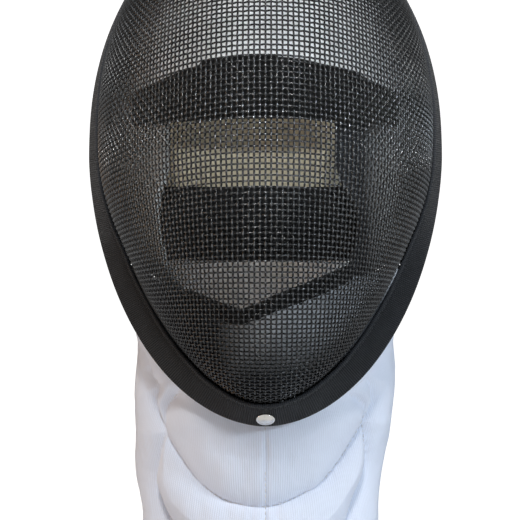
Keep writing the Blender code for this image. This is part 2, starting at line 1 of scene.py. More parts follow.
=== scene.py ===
"""Dresses a fencing mask: woven wire bowl, edge tape, quilted bib, linings, strap, rear tongue and stud.

Lengths are in metres, angles in degrees. Every piece is laid out in the mask's own frame: x across, depth
back from the foremost point of the bowl, and height up from the lowest point of the edge. It follows the same
named sizes as the solids, and is then moved to the shared frame.
"""

import logging
import math
import sys
from dataclasses import dataclass, field
from enum import Enum
from typing import Callable, Sequence

import bpy
import numpy as np
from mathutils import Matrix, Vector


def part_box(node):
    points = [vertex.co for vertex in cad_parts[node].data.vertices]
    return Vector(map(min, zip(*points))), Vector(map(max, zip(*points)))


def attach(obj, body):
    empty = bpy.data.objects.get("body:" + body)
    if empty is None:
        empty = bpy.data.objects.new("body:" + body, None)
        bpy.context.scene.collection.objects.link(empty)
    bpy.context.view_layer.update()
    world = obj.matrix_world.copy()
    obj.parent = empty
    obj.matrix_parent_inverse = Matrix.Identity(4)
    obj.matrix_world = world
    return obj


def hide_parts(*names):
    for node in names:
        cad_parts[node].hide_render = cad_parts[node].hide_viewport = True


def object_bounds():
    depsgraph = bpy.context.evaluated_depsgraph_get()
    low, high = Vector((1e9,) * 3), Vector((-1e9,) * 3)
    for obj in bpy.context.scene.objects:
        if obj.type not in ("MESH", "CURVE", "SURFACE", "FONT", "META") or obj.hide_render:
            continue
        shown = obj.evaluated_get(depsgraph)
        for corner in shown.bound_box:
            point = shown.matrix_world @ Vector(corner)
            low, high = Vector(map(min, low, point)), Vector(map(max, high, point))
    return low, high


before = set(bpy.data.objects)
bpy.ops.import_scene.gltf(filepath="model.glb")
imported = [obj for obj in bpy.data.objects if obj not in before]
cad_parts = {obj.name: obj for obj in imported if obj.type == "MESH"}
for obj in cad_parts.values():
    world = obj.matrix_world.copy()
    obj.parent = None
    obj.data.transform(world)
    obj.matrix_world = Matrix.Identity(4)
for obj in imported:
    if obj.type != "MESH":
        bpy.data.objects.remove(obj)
CAD_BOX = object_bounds()

log = logging.getLogger("mask")

Array = np.ndarray
Paths = list[np.ndarray]
Table = tuple[tuple[float, float], ...]
Colour = tuple[float, float, float]
Point = tuple[float, float, float]
Socket = bpy.types.NodeSocket
Node = bpy.types.Node
Material = bpy.types.Material
Object = bpy.types.Object
CROWN = "crown"
Y_AXIS = np.array((0.0, 1.0, 0.0))
Z_AXIS = np.array((0.0, 0.0, 1.0))


class Side(Enum):
    """A side of the mask, with its sign along X."""

    LEFT = -1.0
    RIGHT = 1.0


# Numbers.


def read_table(table: Table, place: Array) -> Array:
    """Reads smooth values of a two-column table, by cubics through its rows.

    Args:
        table: Rows of place and value.
        place: Places to read at.

    Returns:
        The values at the places.
    """
    rows = np.array(table, float)
    places, values = rows[:, 0], rows[:, 1]
    steps = np.diff(values) / np.diff(places)
    slopes = np.concatenate(([steps[0]], (steps[:-1] + steps[1:]) / 2, [steps[-1]]))
    place = np.clip(place, places[0], places[-1])
    k = np.clip(np.searchsorted(places, place, side="right") - 1, 0, len(places) - 2)
    span = places[k + 1] - places[k]
    t = (place - places[k]) / span
    start = (2 * t**3 - 3 * t**2 + 1) * values[k] + (t**3 - 2 * t**2 + t) * span * slopes[k]
    return start + (3 * t**2 - 2 * t**3) * values[k + 1] + (t**3 - t**2) * span * slopes[k + 1]


def unit(vectors: Array) -> Array:
    """Returns the vectors at length one."""
    return vectors / np.maximum(np.linalg.norm(vectors, axis=-1, keepdims=True), 1e-12)


def ease(t: Array) -> Array:
    """Eases from 0 to 1."""
    t = np.clip(t, 0.0, 1.0)
    return t * t * (3 - 2 * t)


def stack(x: Array, y: Array, z: Array) -> Array:
    """Joins coordinates into points."""
    return np.stack(np.broadcast_arrays(x, y, z), -1).astype(float)


def facing(normals: Array, outward: Array) -> Array:
    """Turns normals to the side that a rough outward direction gives."""
    return normals * np.sign(np.sum(normals * outward, -1, keepdims=True))


def walked(points: Array) -> Array:
    """Measures how far along a row of points each point lies."""
    return np.concatenate(([0], np.cumsum(np.linalg.norm(np.diff(points, axis=0), axis=1))))


def dip(distance: Array, reach: float) -> Array:
    """Falls smoothly from 1 at no distance towards 0 past the reach."""
    return np.exp(-((distance / reach) ** 2))


def ripple(x: Array, y: Array, size: float, seed: int) -> Array:
    """Makes smooth seeded unevenness over two coordinates.

    Args:
        x: First coordinates.
        y: Second coordinates.
        size: Distance from one rise to the next.
        seed: Seed of the pattern.

    Returns:
        Values from about -1 to 1.
    """
    cells = 97
    lattice = np.random.default_rng(seed).uniform(-1, 1, (cells, cells))
    total, weight = np.zeros(np.broadcast(x, y).shape), 1.0
    for octave in range(3):
        a, b = x / size * 2**octave + 41.3, y / size * 2**octave + 17.7
        i, j = np.floor(a).astype(int), np.floor(b).astype(int)
        s, t = ease(a - i), ease(b - j)
        corners = [lattice[(i + p) % cells, (j + q) % cells] for p in (0, 1) for q in (0, 1)]
        low = corners[0] * (1 - t) + corners[1] * t
        high = corners[2] * (1 - t) + corners[3] * t
        total = total + weight * (low * (1 - s) + high * s)
        weight /= 2.2
    return total


def crowded(count: int, border: float) -> Array:
    """Spreads places from 0 to 1 that crowd where an edge is rounded.

    Args:
        count: Places between the rounded borders.
        border: Width of each rounded border as a share of the whole.

    Returns:
        The places in rising order.
    """
    start = border * np.array((0.0, 0.06, 0.22, 0.5))
    return np.concatenate((start, np.linspace(border, 1 - border, count), 1 - start[::-1]))


# The mask's form.


@dataclass
class MaskForm:
    """The wire bowl's outer face, its edge and flange."""

    width: float = 0.2376
    height: float = 0.337
    depth: float = 0.180
    brow: float = 0.183
    upper_roundness: float = 2.2
    lower_roundness: float = 1.86
    wall: float = 0.0021
    tape_width: float = 0.023
    tape_thickness: float = 0.0016
    tape_gap: float = 0.0005
    facet_gap: float = 0.0007
    edge_depth: Table = (
        (0.000, 0.420),
        (0.024, 0.440),
        (0.074, 0.495),
        (0.142, 0.590),
        (0.214, 0.690),
        (0.309, 0.806),
        (0.408, 0.889),
        (0.519, 0.917),
        (0.611, 0.928),
        (0.715, 0.956),
        (0.822, 0.990),
        (1.000, 1.000),
    )
    edge_flare: Table = (
        (0.000, 44.0),
        (0.074, 54.0),
        (0.142, 56.5),
        (0.220, 53.0),
        (0.300, 45.0),
        (0.360, 35.0),
        (0.430, 26.0),
        (0.520, 21.0),
        (0.611, 18.0),
        (0.715, 15.0),
        (0.822, 13.0),
        (0.930, 9.0),
        (1.000, 7.0),
    )
    fullness: Table = ((0.00, 3.60), (0.10, 3.20), (0.22, 3.00), (0.37, 2.60), (0.60, 2.10), (1.00, 2.00))
    roundness: Table = (
        (0.00, 0.05),
        (0.10, 0.60),
        (0.22, 0.80),
        (0.37, 0.80),
        (0.50, 0.70),
        (0.65, 0.68),
        (0.80, 0.70),
        (1.00, 0.70),
    )
    origin: Array = field(init=False)

    def __post_init__(self) -> None:
        """Finds where the shared frame's origin lies, from the bowl's own solid."""
        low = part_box("wire_mesh")[0]
        rim = self.tape(np.array(180.0), self.tape_thickness + self.tape_gap, 0.0)
        self.origin = np.array((0.0, -low[1], rim[2] - low[2]))

    def edge(self, turn: Array) -> Array:
        """Draws the edge.

        Args:
            turn: Turns from the crown towards +X.

        Returns:
            The outermost points of the edge.
        """
        across, up = np.sin(np.radians(turn)), np.cos(np.radians(turn))
        power = np.where(up > 0, 2 / self.upper_roundness, 2 / self.lower_roundness)
        x = self.width / 2 * np.copysign(np.abs(across) ** power, across)
        height = self.height / 2 * (1 + np.copysign(np.abs(up) ** power, up))
        return stack(x, self.depth * read_table(self.edge_depth, height / self.height), height)

    def edge_frame(self, turn: Array) -> tuple[Array, Array, Array]:
        """Finds how the tape lies at the edge.

        Args:
            turn: Turns from the crown towards +X.

        Returns:
            Edge points, the ways across the tape towards them, and the tape's outward normals.
        """
        point = self.edge(turn)
        along = unit(self.edge(turn + 1.0) - self.edge(turn - 1.0))
        outward = unit(stack(-along[..., 2], 0.0, along[..., 0]))
        centre = np.array((0.0, 0.0, self.height / 2))
        outward = facing(outward, point - centre)
        flare = np.radians(read_table(self.edge_flare, point[..., 2] / self.height))[..., None]
        across = np.sin(flare) * outward + np.cos(flare) * Y_AXIS
        normal = unit(np.cross(along, across))
        return point, across, facing(normal, outward)

    def tape(self, turn: Array, back: Array, out: Array) -> Array:
        """Returns points by the edge: back from it along the tape, and out from the bowl's outer face."""
        point, across, normal = self.edge_frame(turn)
        return point - np.asarray(back)[..., None] * across + np.asarray(out)[..., None] * normal

    def inside_tape(self, thickness: float) -> float:
        """Returns how far in, as a negative distance, the middle of a layer lies behind the tape."""
        return -(self.wall + self.tape_gap + self.tape_thickness + self.facet_gap + thickness / 2)

    def bowl(self, turn: Array, share: Array) -> Array:
        """Draws the bowl's outer face.

        Args:
            turn: Turns from the crown towards +X.
            share: Places from the brow, 0, to the tape's inner edge, 1.

        Returns:
            The points.
        """
        rim = self.tape(turn, self.tape_width, 0.0)
        power = read_table(self.fullness, rim[..., 2] / self.height)
        rounded = read_table(self.roundness, rim[..., 2] / self.height)
        quarter = 1 - np.sqrt(np.maximum(1 - share**2, 0.0))
        depth = rim[..., 1] * ((1 - rounded) * share**power + rounded * quarter)
        return stack(rim[..., 0] * share, depth, self.brow + (rim[..., 2] - self.brow) * share)

    def bowl_normal(self, turn: Array, share: Array) -> Array:
        """Finds which way the bowl's face looks.

        Args:
            turn: Turns from the crown towards +X.
            share: Places from the brow, 0, to the tape's inner edge, 1.

        Returns:
            The outward normals.
        """
        near, far = np.maximum(share - 0.004, 0.004), np.minimum(share + 0.004, 1.0)
        down = self.bowl(turn, far) - self.bowl(turn, near)
        along = self.bowl(turn + 1.0, share) - self.bowl(turn - 1.0, share)
        normal = unit(np.cross(down, along))
        return np.where(normal[..., 1:2] > 0, -normal, normal)

    def inside_bowl(self, x: Array, height: Array, inset: Array) -> Array:
        """Finds points at x and height inside the bowl.

        Args:
            x: Places across.
            height: Heights.
            inset: Distance in from the bowl's outer face.

        Returns:
            The points, found by halving the turn.
        """
        x, height = np.broadcast_arrays(x, height)
        aim = np.arctan2(x, height - self.brow)
        side = np.where(aim >= 0, 1.0, -1.0)
        low, high = np.zeros(aim.shape), np.full(aim.shape, 180.0)
        for _ in range(28):
            middle = (low + high) / 2
            rim = self.tape(side * middle, self.tape_width, 0.0)
            short = side * np.arctan2(rim[..., 0], rim[..., 2] - self.brow) < np.abs(aim)
            low, high = np.where(short, middle, low), np.where(short, high, middle)
        turn = side * (low + high) / 2
        rim = self.tape(turn, self.tape_width, 0.0)
        share = np.hypot(x, height - self.brow) / np.hypot(rim[..., 0], rim[..., 2] - self.brow)
        return self.bowl(turn, share) - np.asarray(inset)[..., None] * self.bowl_normal(turn, share)

    def place(self, points: Array) -> Array:
        """Moves points from the mask's own frame to the shared one."""
        return points - self.origin


# Shader expressions.


class NodeMaker:
    """Adds nodes to a tree."""

    def __init__(self, tree: bpy.types.NodeTree) -> None:
        """Keeps the tree."""
        self.tree = tree

    def node(self, kind: str, settings: dict | None = None, inputs: dict | None = None) -> Node:
        """Adds any node.

        Args:
            kind: The node's type.
            settings: Properties, set first.
            inputs: Numbers, Values or sockets by input name or index.

        Returns:
            The node.
        """
        node = self.tree.nodes.new(kind)
        for key, item in (settings or {}).items():
            setattr(node, key, item)
        for key, item in (inputs or {}).items():
            source = item.socket if isinstance(item, Value) else item
            if isinstance(source, Socket):
                self.tree.links.new(source, node.inputs[key])
            else:
                node.inputs[key].default_value = source
        return node

    def maths(self, operation: str, *items: "Value | Socket | float") -> "Value":
        """Adds a Math node on its items, in their order."""
        node = self.node("ShaderNodeMath", {"operation": operation}, dict(enumerate(items)))
        return Value(self, node.outputs[0])


class Value:
    """A node's number output that takes part in Python expressions."""

    def __init__(self, maker: NodeMaker, socket: Socket) -> None:
        """Wraps the socket."""
        self.maker, self.socket = maker, socket

    def __add__(self, other: "Value | float") -> "Value":
        """Adds."""
        return self.maker.maths("ADD", self, other)

    __radd__ = __add__

    def __sub__(self, other: "Value | float") -> "Value":
        """Subtracts."""
        return self.maker.maths("SUBTRACT", self, other)

    def __rsub__(self, other: float) -> "Value":
        """Subtracts this value from a number."""
        return self.maker.maths("SUBTRACT", other, self)

    def __mul__(self, other: "Value | float") -> "Value":
        """Multiplies."""
        return self.maker.maths("MULTIPLY", self, other)

    __rmul__ = __mul__

    def __truediv__(self, other: float) -> "Value":
        """Divides."""
        return self.maker.maths("DIVIDE", self, other)

    def sine(self) -> "Value":
        """Takes the sine."""
        return self.maker.maths("SINE", self)

    def larger(self, other: "Value | float") -> "Value":
        """Takes the larger of two values."""
        return self.maker.maths("MAXIMUM", self, other)

    def clamp(self) -> "Value":
        """Keeps the value from 0 to 1."""
        return self.maker.maths("MINIMUM", self.larger(0.0), 1.0)

    def stripes(self, pitch: float) -> "Value":
        """Turns a length into soft stripes from 0 to 1."""
        return (self * (2 * math.pi / pitch)).sine() * 0.5 + 0.5


class Recipe(NodeMaker):
    """A material in the making: its nodes come from one method, its shader is a Principled one."""

    def __init__(self, name: str, roughness: float, specular: float, constants: dict | None = None) -> None:
        """Starts a material whose constants stand on the shader's own sockets.

        Args:
            name: The material's name.
            roughness: Roughness where nothing varies it.
            specular: Specular level.
            constants: Further numbers by socket name.
        """
        self.material = bpy.data.materials.new(name)
        self.material.use_nodes = True
        super().__init__(self.material.node_tree)
        self.shader = self.tree.nodes["Principled BSDF"]
        numbers = {"Roughness": roughness, "Specular IOR Level": specular, **(constants or {})}
        for key, number in numbers.items():
            self.shader.inputs[key].default_value = number

    def join(self, source: "Value | Socket", name: str) -> None:
        """Links a value or colour to one of the shader's sockets."""
        self.tree.links.new(source.socket if isinstance(source, Value) else source, self.shader.inputs[name])

    def output(self, node: Node, name: str | int = 0) -> Value:
        """Wraps one of a node's outputs."""
        return Value(self, node.outputs[name])

    def coordinates(self, kind: str) -> Socket:
        """Returns the Object or UV coordinates."""
        return self.node("ShaderNodeTexCoord").outputs[kind]

    def parts(self, vector: Socket) -> tuple[Value, Value, Value]:
        """Splits a vector into its three numbers."""
        node = self.node("ShaderNodeSeparateXYZ", inputs={0: vector})
        return self.output(node, 0), self.output(node, 1), self.output(node, 2)

    def noise(self, vector: Socket, scale: float, detail: float = 3.0) -> Value:
        """Adds soft noise from 0 to 1 at so many rises to the metre."""
        node = self.node("ShaderNodeTexNoise", inputs={"Vector": vector, "Scale": scale, "Detail": detail})
        return self.output(node, "Fac")

    def weave(self, pitch: float) -> Value:
        """Adds a plain weave on the cloth's own coordinates.

        Args:
            pitch: Distance from thread to thread.

        Returns:
            The weave's height from 0 to 1.
        """
        across, down, _ = self.parts(self.coordinates("UV"))
        turn = 2 * math.pi / pitch
        return (across * turn).sine() * (down * turn).sine() * 0.5 + 0.5

    def blend(self, factor: Value, first: Colour | Socket, second: Colour) -> Socket:
        """Mixes two colours.

        Args:
            factor: 0 for the first, 1 for the second.
            first: First colour.
            second: Second colour.

        Returns:
            The mixed colour.
        """
        start = first if isinstance(first, Socket) else (*first, 1.0)
        inputs = {0: factor, 6: start, 7: (*second, 1.0)}
        return self.node("ShaderNodeMix", {"data_type": "RGBA"}, inputs).outputs[2]

    def finish(
        self,
        colour: Socket,
        roughness: Value | None = None,
        height: Value | None = None,
        distance: float = 0.0004,
        strength: float = 0.6,
    ) -> Material:
        """Joins colour, roughness and bump to the shader.

        Args:
            colour: Base colour.
            roughness: Varying roughness, if any.
            height: Bump height from 0 to 1, if any.
            distance: Depth of a bump of 1.
            strength: Strength of the bump.

        Returns:
            The material.
        """
        self.join(colour, "Base Color")
        if roughness is not None:
            self.join(roughness, "Roughness")
        if height is not None:
            inputs = {"Height": height, "Distance": distance, "Strength": strength}
            self.join(self.node("ShaderNodeBump", inputs=inputs).outputs[0], "Normal")
        return self.material


# Finishes.


@dataclass(frozen=True)
class LacqueredWire:
    """Black lacquer on woven wire, worn to polished metal where a wire passes outside another; the polish is
    cut outside a band of heights as painted shade.
    """

    black: Colour = (0.0045, 0.0048, 0.0052)
    polished: Colour = (0.17, 0.18, 0.19)
    roughness: float = 0.15
    shine: float = 0.85
    unshaded_from: float = -0.27
    unshaded_to: float = -0.085
    border: float = 0.05

    def material(self) -> Material:
        """Makes the material.

        Returns:
            The material.
        """
        recipe = Recipe("lacquered_wire", self.roughness, 0.4)
        place = recipe.coordinates("Object")
        patches = recipe.noise(place, 60.0, 4.0)
        grain = recipe.noise(place, 2600.0, 2.0)
        crown = recipe.output(recipe.node("ShaderNodeAttribute", {"attribute_name": CROWN}), "Fac")
        _, _, height = recipe.parts(place)
        # Painted shade: the knuckle polish falls to 0.3 of its full strength outside a band of heights, so
        # the bowl is darker above and below it.
        above = ((height - self.unshaded_from) / self.border).clamp()
        band = above * ((self.unshaded_to - height) / self.border).clamp()
        # Real wear on the outer crowns in random patches, times the painted shade of the height band.
        wear_and_shade = (2.8 * crown - 1.8).clamp() * (1.9 * patches - 0.15).clamp() * (0.3 + 0.7 * band)
        colour = recipe.blend(wear_and_shade.clamp(), self.black, self.polished)
        recipe.join((wear_and_shade * self.shine).clamp(), "Metallic")
        return recipe.finish(colour, self.roughness + 0.10 * patches, grain, 0.00006, 0.4)


@dataclass(frozen=True)
class RibbedTape:
    """Black woven tape with fine ribs across it and a paler band along its raised inner edge, a painted
    highlight.
    """

    black: Colour = (0.0058, 0.0068, 0.0085)
    lifted: Colour = (0.035, 0.038, 0.044)
    rib_pitch: float = 0.0015
    thread_pitch: float = 0.0007
    lip_highlight_start: float = 0.0188
    lip_highlight_border: float = 1 / 900

    def material(self) -> Material:
        """Makes the material.

        Returns:
            The material.
        """
        recipe = Recipe("ribbed_tape", 0.75, 0.22, {"Sheen Weight": 0.10, "Sheen Roughness": 0.35})
        along, across, _ = recipe.parts(recipe.coordinates("UV"))
        ribs, threads = along.stripes(self.rib_pitch), across.stripes(self.thread_pitch)
        dust = recipe.noise(recipe.coordinates("Object"), 90.0, 4.0)
        # Painted highlight: paler colour on the raised bead along the tape's inner edge.
        hem = ((across - self.lip_highlight_start) / self.lip_highlight_border).clamp()
        lift = (0.45 * ribs + 0.5 * (dust - 0.4) + 0.35 * hem).clamp()
        colour = recipe.blend(lift, self.black, self.lifted)
        return recipe.finish(colour, 0.85 - 0.2 * ribs, 0.7 * ribs + 0.3 * threads, 0.0005, 0.9)


@dataclass(frozen=True)
class QuiltedKnit:
    """White ribbed knit over wadding, with painted shade in the valleys between its ribs and random darker
    tone.
    """

    white: Colour = (0.77, 0.84, 0.98)
    shade: Colour = (0.66, 0.68, 0.77)
    rib_pitch: float = 0.00135
    course_pitch: float = 0.0011

    def material(self) -> Material:
        """Makes the material.

        Returns:
            The material.
        """
        recipe = Recipe("quilted_knit", 0.9, 0.15, {"Sheen Weight": 0.25, "Sheen Roughness": 0.5})
        across, down, _ = recipe.parts(recipe.coordinates("UV"))
        wander = recipe.noise(recipe.coordinates("Object"), 35.0, 3.0)
        ribs = (across * (2 * math.pi / self.rib_pitch) + 1.2 * wander).sine() * 0.5 + 0.5
        courses = down.stripes(self.course_pitch)
        fuzz = recipe.noise(recipe.coordinates("Object"), 900.0, 3.0)
        # Painted shade in the rib valleys, plus random tone from the wander noise.
        valley_shade_and_tone = (0.30 * (1 - ribs) + 0.4 * wander - 0.1).clamp()
        colour = recipe.blend(valley_shade_and_tone, self.white, self.shade)
        height = 0.65 * ribs + 0.2 * ribs * courses + 0.15 * fuzz
        return recipe.finish(colour, 0.8 + 0.15 * wander, height, 0.00030, 0.55)


@dataclass(frozen=True)
class LiningCloth:
    """Woven lining cloth over wadding."""

    name: str
    colour: Colour
    shade: Colour
    sheen: float = 0.2
    pitch: float = 0.0012

    def material(self) -> Material:
        """Makes the material.

        Returns:
            The material.
        """
        recipe = Recipe(self.name, 0.9, 0.15, {"Sheen Weight": self.sheen})
        weave = recipe.weave(self.pitch)
        soil = recipe.noise(recipe.coordinates("Object"), 24.0, 4.0)
        cloth = recipe.blend((1.3 * (soil - 0.38) + 0.2 * weave).clamp(), self.colour, self.shade)
        return recipe.finish(self.add_painted_shade(recipe, cloth, soil), 0.82 + 0.12 * soil, weave, 0.0003, 0.6)

    def add_painted_shade(self, recipe: Recipe, cloth: Socket, soil: Value) -> Socket:
        """Returns the cloth's colour as it is, with no painted shade."""
        return cloth


@dataclass(frozen=True)
class ShadedLining(LiningCloth):
    """Lining cloth with painted shade: greyer to the -X side of a place, below a height and by a rim."""

    sheen: float = 0.1
    shadow_grey: Colour = (0.032, 0.036, 0.043)
    side: float = -0.004
    spread: float = 0.022
    low: float = -0.212
    fall: float = 0.025
    rim: float = 1.0
    rim_spread: float = 0.010

    def add_painted_shade(self, recipe: Recipe, cloth: Socket, soil: Value) -> Socket:
        """Greys the cloth as painted shade to the -X side of a place, below a height and by a rim.

        Args:
            recipe: The material in the making.
            cloth: Colour of the clean cloth.
            soil: Uneven soil from 0 to 1.

        Returns:
            The colour.
        """
        x, _, height = recipe.parts(recipe.coordinates("Object"))
        # Painted shade: the grey grows to the -X side, below a height and past a rim, with a ragged edge from
        # the soil noise.
        shadow_grey = ((self.side - x) / self.spread).larger((self.low - height) / self.fall)
        shadow_grey = shadow_grey.larger((x - height - self.rim) / self.rim_spread)
        return recipe.blend((shadow_grey + 0.7 * (soil - 0.5)).clamp(), cloth, self.shadow_grey)


@dataclass(frozen=True)
class BlackCloth:
    """Black cloth: velvety on the pad, plain on a binding."""

    name: str
    colour: Colour
    dusty: Colour
    sheen: float
    pitch: float = 0.0010

    def material(self) -> Material:
        """Makes the material.

        Returns:
            The material.
        """
        recipe = Recipe(self.name, 0.92, 0.15, {"Sheen Weight": self.sheen})
        dust = recipe.noise(recipe.coordinates("Object"), 70.0, 5.0)
        colour = recipe.blend((1.6 * (dust - 0.4)).clamp(), self.colour, self.dusty)
        return recipe.finish(colour, 0.85 + 0.1 * dust, recipe.weave(self.pitch), 0.0003, 0.7)


@dataclass(frozen=True)
class ElasticWeb:
    """Black woven elastic, ribbed along its length."""

    black: Colour = (0.010, 0.0105, 0.012)
    lifted: Colour = (0.042, 0.044, 0.049)
    rib_pitch: float = 0.0026
    pick_pitch: float = 0.0010

    def material(self) -> Material:
        """Makes the material.

        Returns:
            The material.
        """
        recipe = Recipe("elastic_web", 0.8, 0.2)
        along, across, _ = recipe.parts(recipe.coordinates("UV"))
        ribs, picks = across.stripes(self.rib_pitch), along.stripes(self.pick_pitch)
        dust = recipe.noise(recipe.coordinates("Object"), 80.0, 4.0)
        colour = recipe.blend((0.5 * ribs * picks + 0.8 * (dust - 0.4)).clamp(), self.black, self.lifted)
        return recipe.finish(colour, 0.9 - 0.2 * picks, 0.6 * ribs + 0.4 * picks, 0.0005, 0.8)


@dataclass(frozen=True)
class TongueCover:
    """Cream cloth cover of the rear tongue, painted whiter below a height as the same cloth in other light.
    """

    cream: Colour = (0.80, 0.76, 0.60)
    white: Colour = (0.84, 0.85, 0.85)
    shade: Colour = (0.62, 0.58, 0.46)
    painted_light_height: float = -0.205
    painted_light_border: float = 1 / 60
    pitch: float = 0.0012

    def material(self) -> Material:
        """Makes the material.

        Returns:
            The material.
        """
        recipe = Recipe("tongue_cover", 0.9, 0.15)
        place = recipe.coordinates("Object")
        _, _, height = recipe.parts(place)
        weave = recipe.weave(self.pitch)
        # Painted light: the cover turns from warm cream to white below a height, standing in for different
        # light on one cloth.
        low = ((self.painted_light_height - height) / self.painted_light_border).clamp()
        cloth = recipe.blend(low, self.cream, self.white)
        soil = (1.5 * (recipe.noise(place, 30.0, 4.0) - 0.45)).clamp()
        colour = recipe.blend(soil, cloth, self.shade)
        return recipe.finish(colour, 0.85 + 0.1 * soil, weave, 0.0003, 0.6)


@dataclass(frozen=True)
class Nickel:
    """Nickel plate with faint scratches."""

    bright: Colour = (0.74, 0.72, 0.68)
    dull: Colour = (0.42, 0.41, 0.39)
    roughness: float = 0.09

    def material(self) -> Material:
        """Makes the material.

        Returns:
            The material.
        """
        recipe = Recipe("nickel_plate", self.roughness, 0.5, {"Metallic": 1.0})
        place = recipe.coordinates("Object")
        stain = recipe.noise(place, 400.0, 4.0)
        colour = recipe.blend((1.8 * (stain - 0.5)).clamp(), self.bright, self.dull)
        scratches = recipe.noise(place, 3000.0)
        return recipe.finish(colour, self.roughness + 0.12 * stain, scratches, 0.00003, 0.3)


@dataclass(frozen=True)
class SewingThread:
    """Sewing thread."""

    name: str
    colour: Colour
    shade: Colour

    def material(self) -> Material:
        """Makes the material.

        Returns:
            The material.
        """
        recipe = Recipe(self.name, 0.75, 0.25)
        twist = recipe.noise(recipe.coordinates("Object"), 2500.0, 2.0)
        colour = recipe.blend(twist, self.colour, self.shade)
        return recipe.finish(colour, 0.6 + 0.2 * twist, twist, 0.0001, 0.5)


# Meshes.


def add_object(name: str, data: bpy.types.ID) -> Object:
    """Adds an object to the scene.

    Args:
        name: The object's name.
        data: Its mesh, camera or lamp.

    Returns:
        The object.
    """
    obj = bpy.data.objects.new(name, data)
    bpy.context.scene.collection.objects.link(obj)
    return obj


def quads(numbers: Array) -> Array:
    """Joins a grid of point numbers into four-sided faces."""
    corners = (numbers[:-1, :-1], numbers[:-1, 1:], numbers[1:, 1:], numbers[1:, :-1])
    return np.stack(corners, -1).reshape(-1, 4)


def grid_lengths(grid: Array) -> tuple[Array, Array]:
    """Measures a grid of points.

    Args:
        grid: Rows of points.

    Returns:
        Lengths along the rows from the middle column, and down the columns from the first row.
    """
    across = np.linalg.norm(np.diff(grid, axis=1), axis=2)
    across = np.concatenate((np.zeros((grid.shape[0], 1)), np.cumsum(across, 1)), 1)
    down = np.linalg.norm(np.diff(grid, axis=0), axis=2)
    down = np.concatenate((np.zeros((1, grid.shape[1])), np.cumsum(down, 0)), 0)
    return across - across[:, [grid.shape[1] // 2]], down


def grid_normals(grid: Array, outside: Callable[[Array, Array], float]) -> Array:
    """Finds a grid's normals.

    Args:
        grid: Rows of points.
        outside: Tells whether a point's normal faces out, by its sign.

    Returns:
        The normals.
    """
    normals = unit(np.cross(np.gradient(grid, axis=0), np.gradient(grid, axis=1)))
    middle = (grid.shape[0] // 2, grid.shape[1] // 2)
    return -normals if outside(grid[middle], normals[middle]) < 0 else normals


def mesh_object(
    name: str,
    points: Array,
    faces: Array | Sequence,
    material: Material,
    uv: Array | None = None,
) -> Object:
    """Makes a linked object from points and faces.

    Args:
        name: The object's name.
        points: Points in the shared frame.
        faces: Faces as point numbers.
        material: Its material.
        uv: Pattern coordinates of the points, in metres.

    Returns:
        The object, shaded smooth.
    """
    mesh = bpy.data.meshes.new(name)
    mesh.from_pydata(points.tolist(), [], faces.tolist() if isinstance(faces, np.ndarray) else faces)
    if uv is not None:
        layer = mesh.uv_layers.new(name="cloth")
        corners = np.empty(len(mesh.loops), int)
        mesh.loops.foreach_get("vertex_index", corners)
        layer.data.foreach_set("uv", uv[corners].ravel())
    mesh.materials.append(material)
    mesh.shade_smooth()
    mesh.validate()
    return add_object(name, mesh)


def soft_panel(
    name: str,
    grid: Array,
    thickness: Array | float,
    material: Material,
    outside: Callable[[Array, Array], float],
    border: float | None = None,
    relief: Array | float = 0.0,
) -> Object:
    """Makes a closed padded panel with rounded borders about a grid of middle points.

    Args:
        name: The object's name.
        grid: Rows of middle points in the shared frame.
        thickness: Thickness, one number or one for each point.
        material: Its material.
        outside: Tells whether a point's normal faces out, by its sign.
        border: Width of the rounded border, half the thickness if not given.
        relief: How far the outer face stands out further.

    Returns:
        The object.
    """
    rows, columns = grid.shape[:2]
    across, down = grid_lengths(grid)
    spans = np.minimum(across - across[:, :1], across[:, -1:] - across)
    falls = np.minimum(down, down[-1:] - down)
    thickness = np.broadcast_to(np.asarray(thickness, float), grid.shape[:2])
    reach = thickness / 2 if border is None else np.full(grid.shape[:2], border)
    rounding = np.ones(grid.shape[:2])
    for distance in (spans, falls):
        inward = 1 - np.clip(distance / np.maximum(reach, 1e-6), 0, 1)
        rounding = rounding * np.sqrt(np.maximum(1 - inward**2, 0))
    normals = grid_normals(grid, outside)
    half = (thickness / 2 * rounding)[..., None]
    lift = (np.broadcast_to(np.asarray(relief, float), grid.shape[:2]) * rounding)[..., None]
    outer, inner = grid + normals * (half + lift), grid - normals * half
    number = np.arange(rows * columns).reshape(rows, columns)
    inner_number = number.copy()
    inner_number[1:-1, 1:-1] = rows * columns + np.arange((rows - 2) * (columns - 2)).reshape(rows - 2, -1)
    points = np.concatenate((outer.reshape(-1, 3), inner[1:-1, 1:-1].reshape(-1, 3)))
    place = np.stack((across, down), -1)
    uv = np.concatenate((place.reshape(-1, 2), place[1:-1, 1:-1].reshape(-1, 2)))
    front, back = quads(number), quads(inner_number)[:, ::-1]
    middle = (rows // 2, columns // 2)
    across_way = grid[middle[0], middle[1] + 1] - grid[middle]
    down_way = grid[middle[0] + 1, middle[1]] - grid[middle]
    if np.cross(across_way, down_way) @ normals[middle] < 0:
        front, back = front[:, ::-1], back[:, ::-1]
    return mesh_object(name, points, np.concatenate((front, back)), material, uv)


